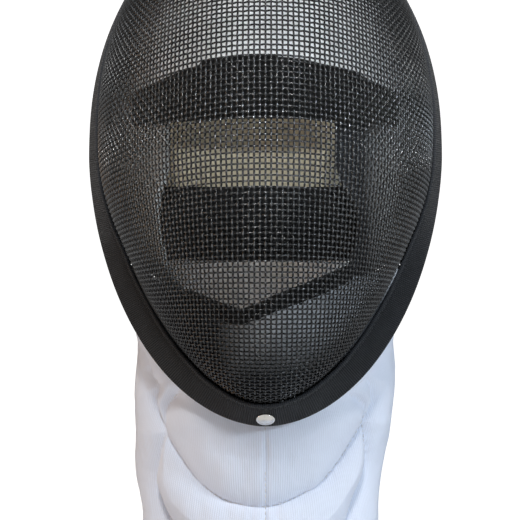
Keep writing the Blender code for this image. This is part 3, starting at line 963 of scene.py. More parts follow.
def loop_tube(name: str, sections: Array, material: Material, uv: Array) -> Object:
    """Makes a closed ring through closed sections.

    Args:
        name: The object's name.
        sections: Points by section and by place round the section.
        material: Its material.
        uv: Pattern coordinates of the points.

    Returns:
        The object, facing out.
    """
    count, sides = sections.shape[:2]
    number = np.arange(count * sides).reshape(count, sides)
    wide = np.concatenate((number, number[:1]))
    wide = np.concatenate((wide, wide[:, :1]), 1)
    faces = quads(wide)
    flat = sections.reshape(-1, 3)
    a, b, c, d = (flat[faces[:, k]] for k in range(4))
    volume = np.sum(a * np.cross(b, c)) + np.sum(a * np.cross(c, d))
    return mesh_object(name, flat, faces if volume > 0 else faces[:, ::-1], material, uv.reshape(-1, 2))


def path_mesh(name: str, paths: Paths, crowns: Paths | None = None) -> Object:
    """Makes an object of bare paths for a node tree to work on.

    Args:
        name: The object's name.
        paths: Rows of points.
        crowns: How far each point stands outside, if the finish needs it.

    Returns:
        The object.
    """
    points, edges, start = [], [], 0
    for path in paths:
        points.append(path)
        steps = np.arange(start, start + len(path) - 1)
        edges.append(np.stack((steps, steps + 1), -1))
        start += len(path)
    mesh = bpy.data.meshes.new(name)
    mesh.from_pydata(np.concatenate(points).tolist(), np.concatenate(edges).tolist(), [])
    if crowns is not None:
        mesh.attributes.new(CROWN, "FLOAT", "POINT").data.foreach_set("value", np.concatenate(crowns))
    return add_object(name, mesh)


class PathTree(NodeMaker):
    """A Geometry Nodes tree that turns paths into meshes, with named sizes."""

    def __init__(self, name: str, sizes: dict[str, float], material: Material) -> None:
        """Starts the tree with its inputs.

        Args:
            name: The tree's name.
            sizes: Values of its inputs by name.
            material: Material of what it makes.
        """
        super().__init__(bpy.data.node_groups.new(name, "GeometryNodeTree"))
        self.sizes, self.identifiers, self.material = sizes, {}, material
        sockets = self.tree.interface
        sockets.new_socket("Geometry", in_out="INPUT", socket_type="NodeSocketGeometry")
        for key, item in sizes.items():
            kind = "NodeSocketInt" if isinstance(item, int) else "NodeSocketFloat"
            self.identifiers[key] = sockets.new_socket(key, in_out="INPUT", socket_type=kind).identifier
        sockets.new_socket("Geometry", in_out="OUTPUT", socket_type="NodeSocketGeometry")
        self.given = self.node("NodeGroupInput").outputs
        self.curve = self.node("GeometryNodeMeshToCurve", inputs={0: self.given["Geometry"]}).outputs[0]

    def close(self, geometry: Socket) -> None:
        """Ends the tree in real geometry with its material.

        Args:
            geometry: What the tree has made.
        """
        real = self.node("GeometryNodeRealizeInstances", inputs={"Geometry": geometry})
        smooth = self.node("GeometryNodeSetShadeSmooth", inputs={"Geometry": real.outputs[0]})
        inputs = {"Geometry": smooth.outputs[0], "Material": self.material}
        dressed = self.node("GeometryNodeSetMaterial", inputs=inputs)
        self.node("NodeGroupOutput", inputs={0: dressed.outputs[0]})

    def apply(self, name: str, paths: Paths, crowns: Paths | None = None) -> Object:
        """Runs the tree on paths.

        Args:
            name: The finished object's name.
            paths: Rows of points in the shared frame.
            crowns: How far each point stands outside, if the finish needs it.

        Returns:
            An object with a plain mesh.
        """
        source = path_mesh(name + "_paths", paths, crowns)
        modifier = source.modifiers.new("paths", "NODES")
        modifier.node_group = self.tree
        for key, identifier in self.identifiers.items():
            modifier[identifier] = self.sizes[key]
        ready = source.evaluated_get(bpy.context.evaluated_depsgraph_get())
        mesh = bpy.data.meshes.new_from_object(ready)
        mesh.name = name
        source.modifiers.remove(modifier)
        bpy.data.objects.remove(source, do_unlink=True)
        return add_object(name, mesh)


def wire_tree(material: Material, radius: float, sides: int) -> PathTree:
    """Makes a tree that draws a round wire along each path.

    Args:
        material: The wire's material.
        radius: The wire's radius.
        sides: Flat sides round the wire.

    Returns:
        The tree.
    """
    tree = PathTree("round_wire", {"Wire radius": radius, "Sides": sides}, material)
    inputs = {"Radius": tree.given["Wire radius"], "Resolution": tree.given["Sides"]}
    circle = tree.node("GeometryNodeCurvePrimitiveCircle", {"mode": "RADIUS"}, inputs)
    inputs = {"Curve": tree.curve, "Profile Curve": circle.outputs[0], "Fill Caps": True}
    tree.close(tree.node("GeometryNodeCurveToMesh", inputs=inputs).outputs[0])
    return tree


def stitch_tree(material: Material, pitch: float, length: float, radius: float) -> PathTree:
    """Makes a tree that sews a row of stitches along each path.

    Args:
        material: The thread's material.
        pitch: Distance from stitch to stitch.
        length: A stitch's length.
        radius: The thread's radius.

    Returns:
        The tree.
    """
    sizes = {"Stitch pitch": pitch, "Stitch length": length, "Thread radius": radius}
    tree = PathTree("stitches", sizes, material)
    inputs = {"Curve": tree.curve, "Length": tree.given["Stitch pitch"]}
    row = tree.node("GeometryNodeResampleCurve", {"mode": "LENGTH"}, inputs)
    bead = tree.node("GeometryNodeMeshUVSphere", inputs={"Segments": 6, "Rings": 4, "Radius": 1.0})
    thread = tree.given["Thread radius"]
    inputs = {0: tree.maths("MULTIPLY", tree.given["Stitch length"], 0.5), 1: thread, 2: thread}
    size = tree.node("ShaderNodeCombineXYZ", inputs=inputs)
    tangent = tree.node("GeometryNodeInputTangent").outputs[0]
    turn = tree.node("FunctionNodeAlignRotationToVector", {"axis": "X"}, {"Vector": tangent})
    inputs = {
        "Points": row.outputs[0],
        "Instance": bead.outputs[0],
        "Rotation": turn.outputs[0],
        "Scale": size.outputs[0],
    }
    tree.close(tree.node("GeometryNodeInstanceOnPoints", inputs=inputs).outputs[0])
    return tree


def seat(obj: Object, node: str) -> Object:
    """Makes a piece ride on the mask in place of a solid.

    Args:
        obj: The piece.
        node: The solid that it stands for.

    Returns:
        The piece.
    """
    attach(obj, "root")
    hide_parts(node)
    faces = sum(len(p.vertices) - 2 for p in obj.data.polygons)
    log.info("%s: %d triangles", obj.name, faces)
    return obj


# Wire cloth.


@dataclass
class WireCloth:
    """The bowl's plain-woven wire: a net of equal meshes laid on the bowl from its middle outwards."""

    form: MaskForm
    pitch: float = 0.00315
    wire_radius: float = 0.00056
    weave_height: float = 0.00046
    row_droop: float = 1.51
    under_tape: float = 0.0042
    turn_steps: int = 1440
    fine_steps: int = 1601
    arc_steps: int = 600
    beyond: int = 90
    usual_arc: float = 0.2
    reach: float = 1.13
    upright_reach: float = 1.14
    rounds: int = 14
    upright_rounds: int = 12
    step: float = 2e-4
    longest_move: float = 0.01
    tolerance: float = 5e-5
    narrowest: float = 0.25
    shortest: int = 3
    sides: int = 6
    # Painted shade: the crosswires' knuckle polish is scaled by this share so they read dimmer than the
    # uprights.
    crosswire_shade: float = 0.87
    surface: Array = field(init=False)
    arcs: Array = field(init=False)

    def __post_init__(self) -> None:
        """Measures the bowl's face at equal shares of its arcs from the brow."""
        turns = np.linspace(-180, 180, self.turn_steps + 1)
        fine = np.sin(np.linspace(0, np.pi / 2, self.fine_steps))
        lines = self.form.bowl(turns[:, None], fine[None])
        steps = np.linalg.norm(np.diff(lines, axis=1), axis=2)
        lengths = np.concatenate((np.zeros((len(turns), 1)), np.cumsum(steps, 1)), 1)
        shares = np.linspace(0, 1, self.arc_steps + 1)
        face = np.empty((len(turns), self.arc_steps + 1, 3))
        for k in range(len(turns)):
            for c in range(3):
                face[k, :, c] = np.interp(shares * lengths[k, -1], lengths[k], lines[k, :, c])
        self.arcs = lengths[:, -1]
        on = np.arange(1, self.beyond + 1)[None, :, None] / self.arc_steps * self.arcs[:, None, None]
        flange = face[:, -1:] + on * self.form.edge_frame(turns)[1][:, None]
        self.surface = np.concatenate((face, flange), 1)

    def look(self, uv: Array) -> Array:
        """Reads the measured face.

        Args:
            uv: Plane coordinates, whose length is the share of the arc.

        Returns:
            The points.
        """
        t = np.clip(np.hypot(uv[..., 0], uv[..., 1]) * self.arc_steps, 0, self.surface.shape[1] - 1.001)
        k = (np.degrees(np.arctan2(uv[..., 0], uv[..., 1])) + 180) / 360 * self.turn_steps
        k = np.clip(k, 0, self.turn_steps - 1e-6)
        i, j = k.astype(int), t.astype(int)
        a, b = (k - i)[..., None], (t - j)[..., None]
        here = self.surface[i, j] * (1 - a) + self.surface[i + 1, j] * a
        there = self.surface[i, j + 1] * (1 - a) + self.surface[i + 1, j + 1] * a
        return here * (1 - b) + there * b

    def middle_upright(self, way: float) -> Array:
        """Marches along the middle by one mesh at a time.

        Args:
            way: 1 for up, -1 for down.

        Returns:
            Plane coordinates of the crossings.
        """
        places = [np.zeros(2)]
        while True:
            base, start = self.look(places[-1]), abs(places[-1][1])
            reach = start + self.pitch / self.usual_arc
            for _ in range(self.upright_rounds):
                gone = np.linalg.norm(self.look(np.array((0.0, way * reach))) - base)
                reach = start + (reach - start) * self.pitch / max(gone, 1e-9)
            if reach > self.upright_reach:
                return np.array(places)
            places.append(np.array((0.0, way * reach)))

    def middle_row(self, way: float) -> Array:
        """Marches sideways from the brow along a line that droops towards the sides.

        Args:
            way: 1 for towards +X, -1 for the other side.

        Returns:
            Plane coordinates of the crossings.
        """
        places = [np.zeros(2)]
        guess = np.array((way * self.pitch / self.usual_arc, 0.0))
        while True:
            base = self.look(places[-1])

            def miss(place: Array) -> Array:
                """Tells how far a place is from one mesh away and from the drooping line."""
                point = self.look(place)
                droop = point[2] - self.form.brow + self.row_droop * point[0] ** 2
                return np.array((np.linalg.norm(point - base) - self.pitch, droop))

            for _ in range(self.rounds):
                now = miss(guess)
                slope = np.stack([(miss(guess + way) - now) / self.step for way in np.eye(2) * self.step], -1)
                move = np.linalg.solve(slope, now)
                guess = guess - np.clip(move, -self.longest_move, self.longest_move)
            if np.hypot(*guess) > self.reach:
                return np.array(places)
            places.append(guess)
            guess = 2 * places[-1] - places[-2]

    def quarter(self, row: Array, upright: Array) -> tuple[Array, Array]:
        """Fills a quarter of the net.

        Args:
            row: Places along the middle row.
            upright: Places along the middle upright.

        Returns:
            Plane coordinates and points of the crossings, nan where there are none.
        """
        n, m = len(row), len(upright)
        places, points = np.full((n, m, 2), np.nan), np.full((n, m, 3), np.nan)
        places[:, 0], places[0, :] = row, upright
        points[:, 0], points[0, :] = self.look(row), self.look(upright)
        ways = (self.step, 0), (0, self.step)
        for k in range(2, n + m - 1):
            i = np.arange(max(1, k - m + 1), min(n - 1, k - 1) + 1)
            j = k - i
            known = np.isfinite(places[i - 1, j, 0] + places[i, j - 1, 0] + places[i - 1, j - 1, 0])
            i, j = i[known], j[known]
            if len(i) == 0:
                continue
            a, b = points[i - 1, j], points[i, j - 1]
            guess = places[i - 1, j] + places[i, j - 1] - places[i - 1, j - 1]
            for _ in range(self.rounds):
                here = self.look(guess)
                along, up = (self.look(guess + way) - here for way in ways)
                miss_a = np.sum((here - a) ** 2, -1) - self.pitch**2
                miss_b = np.sum((here - b) ** 2, -1) - self.pitch**2
                aa, au = (2 * np.sum((here - a) * w, -1) / self.step for w in (along, up))
                ba, bu = (2 * np.sum((here - b) * w, -1) / self.step for w in (along, up))
                whole = aa * bu - au * ba
                whole = np.where(np.abs(whole) < 1e-9, 1e-9, whole)
                move = np.stack((miss_a * bu - miss_b * au, miss_b * aa - miss_a * ba), -1) / whole[:, None]
                guess = guess - np.clip(move, -self.longest_move, self.longest_move)
            here = self.look(guess)
            error = np.abs(np.stack([np.linalg.norm(here - p, axis=-1) for p in (a, b)]) - self.pitch).max(0)
            wide = np.linalg.norm(here - points[i - 1, j - 1], axis=-1) > self.narrowest * self.pitch
            good = (error < self.tolerance) & (np.hypot(guess[:, 0], guess[:, 1]) < self.reach) & wide
            i, j = i[good], j[good]
            places[i, j], points[i, j] = guess[good], here[good]
        return places, points

    def net(self) -> tuple[Array, Array, int, int]:
        """Joins the four quarters.

        Returns:
            The crossings of the middle surface with nan where there are none, their normals, and the numbers
            of the middle upright and the middle row.
        """
        rows = [self.middle_row(way) for way in (1.0, -1.0)]
        uprights = [self.middle_upright(way) for way in (1.0, -1.0)]
        left, below = len(rows[1]) - 1, len(uprights[1]) - 1
        shape = (len(rows[0]) + left, len(uprights[0]) + below)
        places, points = np.full((*shape, 2), np.nan), np.full((*shape, 3), np.nan)
        for a, across in ((0, 1), (1, -1)):
            for b, up in ((0, 1), (1, -1)):
                got, at = self.quarter(rows[a], uprights[b])
                i = left + across * np.arange(got.shape[0])
                j = below + up * np.arange(got.shape[1])
                places[np.ix_(i, j)], points[np.ix_(i, j)] = got, at
        reach = np.hypot(places[..., 0], places[..., 1])
        turn = np.degrees(np.arctan2(places[..., 0], places[..., 1]))
        arc = np.interp(np.nan_to_num(turn), np.linspace(-180, 180, self.turn_steps + 1), self.arcs)
        inside = (np.nan_to_num(reach, nan=9.0) - 1) * arc <= self.under_tape
        points[~inside] = np.nan
        flat = np.nan_to_num(places)
        here = self.look(flat)
        sideways, upwards = (self.look(flat + step) - here for step in ((0.002, 0), (0, 0.002)))
        normals = unit(np.cross(sideways, upwards))
        outward = here - np.array((0.0, self.form.depth, self.form.brow))
        normals = facing(normals, outward)
        return points - self.form.wall / 2 * normals, normals, left, below

    def wires(self, points: Array, normals: Array, over: Array, wear_and_shade: float) -> tuple[Paths, Paths]:
        """Bends each row of crossings over and under its neighbours.

        Args:
            points: Crossings by wire and by place along it.
            normals: Their normals.
            over: 1 where the wire passes outside, -1 where it passes inside.
            wear_and_shade: How much the wires' crowns are worn, lowered on the crosswires as painted shade.

        Returns:
            One path for each unbroken wire, and how far its points stand outside, 0 to 1.
        """
        paths, crowns = [], []
        for wire, normal, sign in zip(points, normals, over):
            good = np.isfinite(wire[:, 0])
            edges = np.flatnonzero(np.diff(np.concatenate(([0], good.astype(int), [0]))))
            for start, end in zip(edges[::2], edges[1::2]):
                if end - start < self.shortest:
                    continue
                knots, out = wire[start:end], sign[start:end, None] * self.weave_height * normal[start:end]
                path = np.empty((2 * len(knots) - 1, 3))
                path[::2] = knots + out
                path[1::2] = (knots[:-1] + knots[1:]) / 2
                paths.append(self.form.place(path))
                crown = np.full(len(path), 0.5)
                crown[::2] += sign[start:end] / 2
                # Crown values are scaled by the wear and painted shade factor.
                crowns.append(crown * wear_and_shade)
        return paths, crowns

    def build(self) -> list[Object]:
        """Weaves the uprights and crosswires.

        Returns:
            The four pieces.
        """
        tree = wire_tree(LacqueredWire().material(), self.wire_radius, self.sides)
        points, normals, left, below = self.net()
        parity = np.where(np.indices(points.shape[:2]).sum(0) % 2 == 0, 1.0, -1.0)
        turned = points.transpose(1, 0, 2), normals.transpose(1, 0, 2), -parity.T
        groups = {
            "wire_uprights_left": (points[:left], normals[:left], parity[:left]),
            "wire_uprights_right": (points[left:], normals[left:], parity[left:]),
            "wire_crosswires_upper": tuple(item[below:] for item in turned),
            "wire_crosswires_lower": tuple(item[:below] for item in turned),
        }
        # The crosswires get less polish than the uprights: painted shade.
        wear_and_shade = {name: 1.0 if "uprights" in name else self.crosswire_shade for name in groups}
        log.info("wire crossings: %d", int(np.isfinite(points[..., 0]).sum()))
        pieces = [tree.apply(name, *self.wires(*group, wear_and_shade[name])) for name, group in groups.items()]
        return [seat(piece, "wire_mesh") for piece in pieces]


# Edge tape and stud.


@dataclass
class EdgeTape:
    """The ribbed tape folded round the flange, with its sewn inner edge."""

    form: MaskForm
    back_width: float = 0.015
    start: float = 0.0006
    fold: float = 0.0018
    turns: int = 420
    waviness: float = 0.00022
    stitch_line: float = 0.0028
    stitch_pitch: float = 0.0030
    stitch_length: float = 0.0023
    thread_radius: float = 0.00028
    hidden_points: int = 6

    def section(self) -> Array:
        """Draws the tape's section.

        Returns:
            Rows of distance back from the edge and distance out from the bowl's face.
        """
        form = self.form
        near, far = form.tape_gap, form.tape_gap + form.tape_thickness
        under, below = -form.wall - near, -form.wall - far
        inner = form.tape_width - self.start
        top = [
            (inner, near + 0.0003),
            (inner, far - 0.0004),
            (inner - 0.0004, far + 0.0001),
            (inner - 0.0012, far + 0.0003),
            (inner - 0.0020, far + 0.0001),
            (inner - 0.0027, far - 0.0003),
            (inner - 0.0034, far),
        ]
        top += [(back, far) for back in np.linspace(inner - 0.0055, 0.0026, 8)]
        middle, half = -form.wall / 2, (far - below) / 2
        turns = np.radians(np.linspace(0, 180, 9))
        fold = [(self.fold - self.fold * math.sin(a), middle + half * math.cos(a)) for a in turns]
        end = self.back_width
        back = [(b, below) for b in np.linspace(0.0034, end - 0.0006, 5)]
        back += [(end, below + 0.0004), (end, under - 0.0004), (end - 0.0004, under)]
        inside = [(0.008, under), (0.0016, under), (0.0016, near), (0.012, near), (inner - 0.0003, near)]
        return np.array(top + fold + back + inside)

    def build(self) -> list[Object]:
        """Makes the tape and its stitching.

        Returns:
            The two pieces.
        """
        section = self.section()
        turns = np.linspace(-180, 180, self.turns, endpoint=False)
        edge = self.form.edge(turns)
        along, round_section = walked(edge), walked(section)
        back, out = section[None, :, 0], section[None, :, 1]
        outer = ease((back - 0.002) / 0.01) * (out > 0)
        wave = self.waviness * ripple(along[:, None], round_section[None] * 0.3, 0.011, 5) * outer
        lifted = out + np.maximum(wave, -0.0002)
        points = self.form.tape(turns[:, None], np.broadcast_to(back, wave.shape), lifted)
        across = np.where(section[:, 1] > 0, section[:, 0], -section[:, 0])
        uv = np.stack(np.broadcast_arrays(along[:, None], across[None]), -1)
        tape = loop_tube("edge_tape", self.form.place(points), RibbedTape().material(), uv)
        thread = SewingThread("black_thread", (0.085, 0.086, 0.090), (0.035, 0.036, 0.038))
        far = self.form.tape_gap + self.form.tape_thickness
        around = np.linspace(-180, 180, 700)
        line = self.form.tape(around, self.form.tape_width - self.start - self.stitch_line, far - 0.00005)
        tree = stitch_tree(thread.material(), self.stitch_pitch, self.stitch_length, self.thread_radius)
        sewing = tree.apply("edge_tape_stitches", [self.form.place(line)])
        return [seat(tape, "edge_trim"), seat(sewing, "edge_trim")]


@dataclass
class PressStud:
    """The domed press stud at the chin."""

    form: MaskForm
    diameter: float = 0.0113
    height: float = 0.0013
    from_edge: float = 0.0092
    fit_gap: float = 0.0003
    segments: int = 48
    profile: Table = (
        (0.0, 1.0),
        (0.12, 0.995),
        (0.30, 0.96),
        (0.48, 0.88),
        (0.62, 0.76),
        (0.71, 0.62),
        (0.76, 0.46),
        (0.78, 0.36),
        (0.82, 0.30),
        (0.90, 0.32),
        (0.96, 0.28),
        (1.0, 0.16),
        (0.99, 0.05),
        (0.96, 0.0),
        (0.0, 0.0),
    )

    def build(self) -> Object:
        """Turns the stud about the tape's normal.

        Returns:
            The stud.
        """
        turn = np.array(180.0)
        out = self.form.tape_gap + self.form.tape_thickness + self.fit_gap
        base = self.form.place(self.form.tape(turn, self.from_edge, out))
        _, across, normal = self.form.edge_frame(turn)
        side = unit(np.cross(across, normal))
        points, rings = [], []
        for share, lift in self.profile:
            count = 1 if share == 0 else self.segments
            angles = np.linspace(0, 2 * np.pi, count, endpoint=False)[:, None]
            ring = base + share * self.diameter / 2 * (np.cos(angles) * side + np.sin(angles) * across)
            rings.append(list(range(len(points), len(points) + count)))
            points.extend(ring + lift * self.height * normal)
        faces = []
        for here, there in zip(rings, rings[1:]):
            for k in range(self.segments):
                m = (k + 1) % self.segments
                corners = [here[k % len(here)], here[m % len(here)]]
                corners += [there[m % len(there)], there[k % len(there)]]
                faces.append(list(dict.fromkeys(corners)))
        points = np.array(points)
        face = faces[self.segments]
        way = np.cross(points[face[1]] - points[face[0]], points[face[2]] - points[face[0]])
        if way @ normal < 0:
            faces = [f[::-1] for f in faces]
        stud = mesh_object("press_stud", points, faces, Nickel().material())
        return seat(stud, "chin_snap")


# Bib.


@dataclass
class Bib:
    """The quilted bib: a padded knit sheet hung from the edge, sewn in lobes about a middle seam.

    A seam's rows are the turn round the bib in degrees and the height in the mask's frame.
    """

    form: MaskForm
    half_width: float = 0.0808
    reach: float = 0.062
    axis_depth: float = 0.152
    drop: float = 0.124
    gather: float = 0.026
    thickness: float = 0.008
    edge_thickness: float = 0.0036
    tuck: float = 0.009
    overhang: float = 0.0025
    wrap: float = 104.0
    top_reach: float = 62.0
    side_rise: float = 0.43
    rise_power: float = 1.5
    columns: int = 220
    rows: int = 155
    seam_depth: float = 0.0056
    seam_reach: float = 0.0046
    bulge: float = 0.0050
    bulge_reach: float = 0.017
    side_flattening: float = 0.6
    middle_depth: float = 0.0010
    middle_reach: float = 0.0014
    pucker: float = 0.00030
    pucker_pitch: float = 0.0011
    pucker_reach: float = 0.006
    fold: float = 0.0011
    fold_size: float = 0.045
    crease: float = 0.0005
    crease_size: float = 0.016
    stitch_pitch: float = 0.0034
    stitch_length: float = 0.0026
    thread_radius: float = 0.00030
    side_limit: float = 0.0815
    under_edge: float = 0.009
    right_tuck: float = 0.0115
    left_tuck: float = 0.0050
    fullness: Table = ((0.00, 0.45), (0.05, 0.45), (0.16, 0.90), (0.5, 1.0), (0.90, 0.95), (1.0, 0.80))
    seams: tuple[Table, ...] = (
        (
            (-47.0, 0.024),
            (-50.0, 0.0160),
            (-52.0, 0.0054),
            (-51.0, -0.0114),
            (-43.0, -0.0239),
            (-36.0, -0.0333),
            (-28.0, -0.0430),
            (-20.0, -0.0493),
            (-12.0, -0.0520),
            (0.0, -0.0533),
            (8.0, -0.0515),
            (18.0, -0.0468),
            (28.0, -0.0406),
            (37.0, -0.0301),
            (46.0, -0.0156),
            (52.0, -0.0047),
            (52.0, 0.0086),
            (46.0, 0.0178),
            (44.0, 0.024),
        ),
        (
            (-51.0, -0.0114),
            (-56.0, -0.0259),
            (-60.0, -0.0417),
            (-56.0, -0.0625),
            (-44.0, -0.0780),
            (-26.0, -0.0905),
            (0.0, -0.0960),
            (22.0, -0.0900),
            (38.0, -0.0790),
            (48.0, -0.0657),
            (52.0, -0.0548),
            (58.0, -0.0435),
            (60.0, -0.0311),
            (57.0, -0.0187),
            (52.0, -0.0047),
        ),
        (
            (-78.0, 0.044),
            (-71.0, 0.0325),
            (-67.0, 0.0237),
            (-61.0, 0.0168),
            (-60.0, 0.0066),
            (-51.0, -0.0114),
        ),
        (
            (76.0, 0.046),
            (70.0, 0.0361),
            (64.0, 0.0292),
            (59.0, 0.0250),
            (50.0, 0.0192),
            (46.0, 0.0178),
        ),
        ((59.0, 0.0250), (60.0, 0.0195), (58.0, 0.0070), (52.0, -0.0047)),
    )
    middle_seam: Table = ((0.0, 0.010), (0.0, -0.124))

    def middle(self, turn: Array, share: Array) -> Array:
        """Draws the middle of the wall.

        Args:
            turn: Turns round the bib from its middle.
            share: Places from the edge, 0, to the hem, 1, and under the tape below 0.

        Returns:
            The points.
        """
        form = self.form
        edge_turn = 180.0 - turn * self.top_reach / self.wrap
        inward = form.inside_tape(self.edge_thickness)
        tucked = form.tape(edge_turn, self.tuck, inward)
        lip = form.tape(edge_turn, -self.overhang, inward)
        down = np.maximum(share, 0.0)
        radians = np.radians(turn)
        hem = -self.drop * (1 - self.side_rise * (1 - np.cos(radians)) ** self.rise_power)
        settled = ease(down * (lip[..., 2] - hem) / self.gather)
        height = lip[..., 2] + (hem - lip[..., 2]) * down
        up_edge = np.clip(1 - 2 * height / form.height, 0.0, 1.0)
        power = form.lower_roundness
        behind = form.width / 2 * (1 - up_edge**power) ** (1 / power) - self.under_edge
        shrink = np.where(turn > 0, self.right_tuck * ease((0.02 - height) / 0.09), 0.0)
        shrink = shrink + np.where(turn < 0, self.left_tuck * ease((-0.04 - height) / 0.03), 0.0)
        x = lip[..., 0] + ((self.half_width - shrink) * np.sin(radians) - lip[..., 0]) * settled
        limit = np.maximum(self.side_limit, behind)
        x = np.clip(x, -limit, limit)
        y = lip[..., 1] + (self.axis_depth - self.reach * np.cos(radians) - lip[..., 1]) * settled
        hung = stack(x, y, height)
        up = np.clip(-share / 0.05, 0, 1)[..., None]
        return hung + (tucked - lip) * up

    def seam_distance(self, turn: Array, height: Array) -> tuple[Array, Array]:
        """Measures how far the cloth is from its nearest seam.

        Args:
            turn: Turns round the bib.
            height: Heights.

        Returns:
            Distances to the nearest seam, and the place along it.
        """
        place = np.stack((np.radians(turn) * self.half_width, height), -1)
        nearest, along, start = np.full(turn.shape, 9.0), np.zeros(turn.shape), 0.0
        for seam in self.seams:
            knots = self.smooth_seam(seam)
            for a, b in zip(knots, knots[1:]):
                way = b - a
                length = max(np.linalg.norm(way), 1e-9)
                t = np.clip(((place - a) @ way) / length**2, 0, 1)
                away = np.linalg.norm(place - a - t[..., None] * way, axis=-1)
                closer = away < nearest
                nearest = np.where(closer, away, nearest)
                along = np.where(closer, start + t * length, along)
                start += length
        return nearest, along

    def smooth_seam(self, seam: Table) -> Array:
        """Draws a seam smoothly.

        Args:
            seam: The seam's rows.

        Returns:
            Flat points, across and up in metres.
        """
        rows = np.array(seam) * (math.radians(self.half_width), 1.0)
        if len(rows) == 2:
            return np.linspace(rows[0], rows[1], 12)
        steps = walked(rows)
        fine = np.linspace(0, steps[-1], 48)
        return np.stack([read_table(tuple(zip(steps, rows[:, c])), fine) for c in (0, 1)], -1)

    def build(self) -> list[Object]:
        """Makes the padded sheet and its stitching.

        Returns:
            The two pieces.
        """
        turns = np.linspace(-self.wrap, self.wrap, self.columns)
        shares = np.concatenate((np.linspace(-0.05, 0, 6)[:-1], crowded(self.rows, 0.02)))
        turn, share = np.meshgrid(turns, shares)
        grid = self.middle(turn, share)
        height = grid[..., 2]
        away, along = self.seam_distance(turn, height)
        flat = np.radians(turn) * self.half_width
        free = ease(share / 0.10)
        groove = self.bulge * (1 - dip(away, self.bulge_reach))
        groove = groove * (1 - self.side_flattening * ease((np.abs(turn) - 55) / 30))
        groove = groove - self.seam_depth * np.exp(-away / self.seam_reach)
        groove = groove - self.middle_depth * dip(flat, self.middle_reach)
        phase = along / self.pucker_pitch + 2.5 * ripple(along, away, 0.01, 3)
        puckers = self.pucker * np.sin(phase) * np.exp(-away / self.pucker_reach)
        puckers = puckers * (0.6 + 0.8 * ripple(flat, height, 0.03, 4))
        folds = self.fold * ripple(flat, height, self.fold_size, 7)
        folds = folds + self.crease * ripple(flat * 1.6, height * 0.7, self.crease_size, 8)
        relief = (groove + puckers + folds) * free
        axis = self.form.place(np.array((0.0, self.axis_depth, 0.0)))
        thickness = self.thickness * read_table(self.fullness, np.clip(share, 0, 1))
        sheet = soft_panel(
            "quilted_bib",
            self.form.place(grid),
            thickness,
            QuiltedKnit().material(),
            lambda p, n: float(n @ ((p - axis) * (1, 1, 0))),
            border=0.003,
            relief=relief,
        )
        thread = SewingThread("white_thread", (0.78, 0.78, 0.80), (0.60, 0.60, 0.62)).material()
        paths = [self.seam_path(seam, self.seam_depth) for seam in self.seams]
        paths.append(self.seam_path(self.middle_seam, self.middle_depth - self.bulge * 0.9))
        tree = stitch_tree(thread, self.stitch_pitch, self.stitch_length, self.thread_radius)
        sewing = tree.apply("bib_stitches", paths)
        return [seat(sheet, "bib"), seat(sewing, "bib")]

    def seam_path(self, seam: Table, depth: float) -> Array:
        """Lays a seam's thread in its groove.

        Args:
            seam: The seam's rows.
            depth: The groove's depth in the outer face.

        Returns:
            The thread's points in the shared frame.
        """
        flat = self.smooth_seam(seam)
        turn, height = np.degrees(flat[:, 0] / self.half_width), flat[:, 1]
        low, high = np.full(turn.shape, 0.02), np.ones(turn.shape)
        for _ in range(24):
            share = (low + high) / 2
            above = self.middle(turn, share)[:, 2] > height
            low, high = np.where(above, share, low), np.where(above, high, share)
        share = (low + high) / 2
        here = self.middle(turn, share)
        sideways = self.middle(turn + 0.5, share) - self.middle(turn - 0.5, share)
        down = self.middle(turn, share + 0.004) - self.middle(turn, share - 0.004)
        normal = unit(np.cross(sideways, down))
        outward = (here - np.array((0.0, self.axis_depth, 0.0))) * (1, 1, 0)
        normal = facing(normal, outward)
        half = self.thickness / 2 * read_table(self.fullness, share)
        lift = half - (depth - 0.0004) * ease(share / 0.10)
        return self.form.place(here + lift[:, None] * normal)


# Inside the bowl.


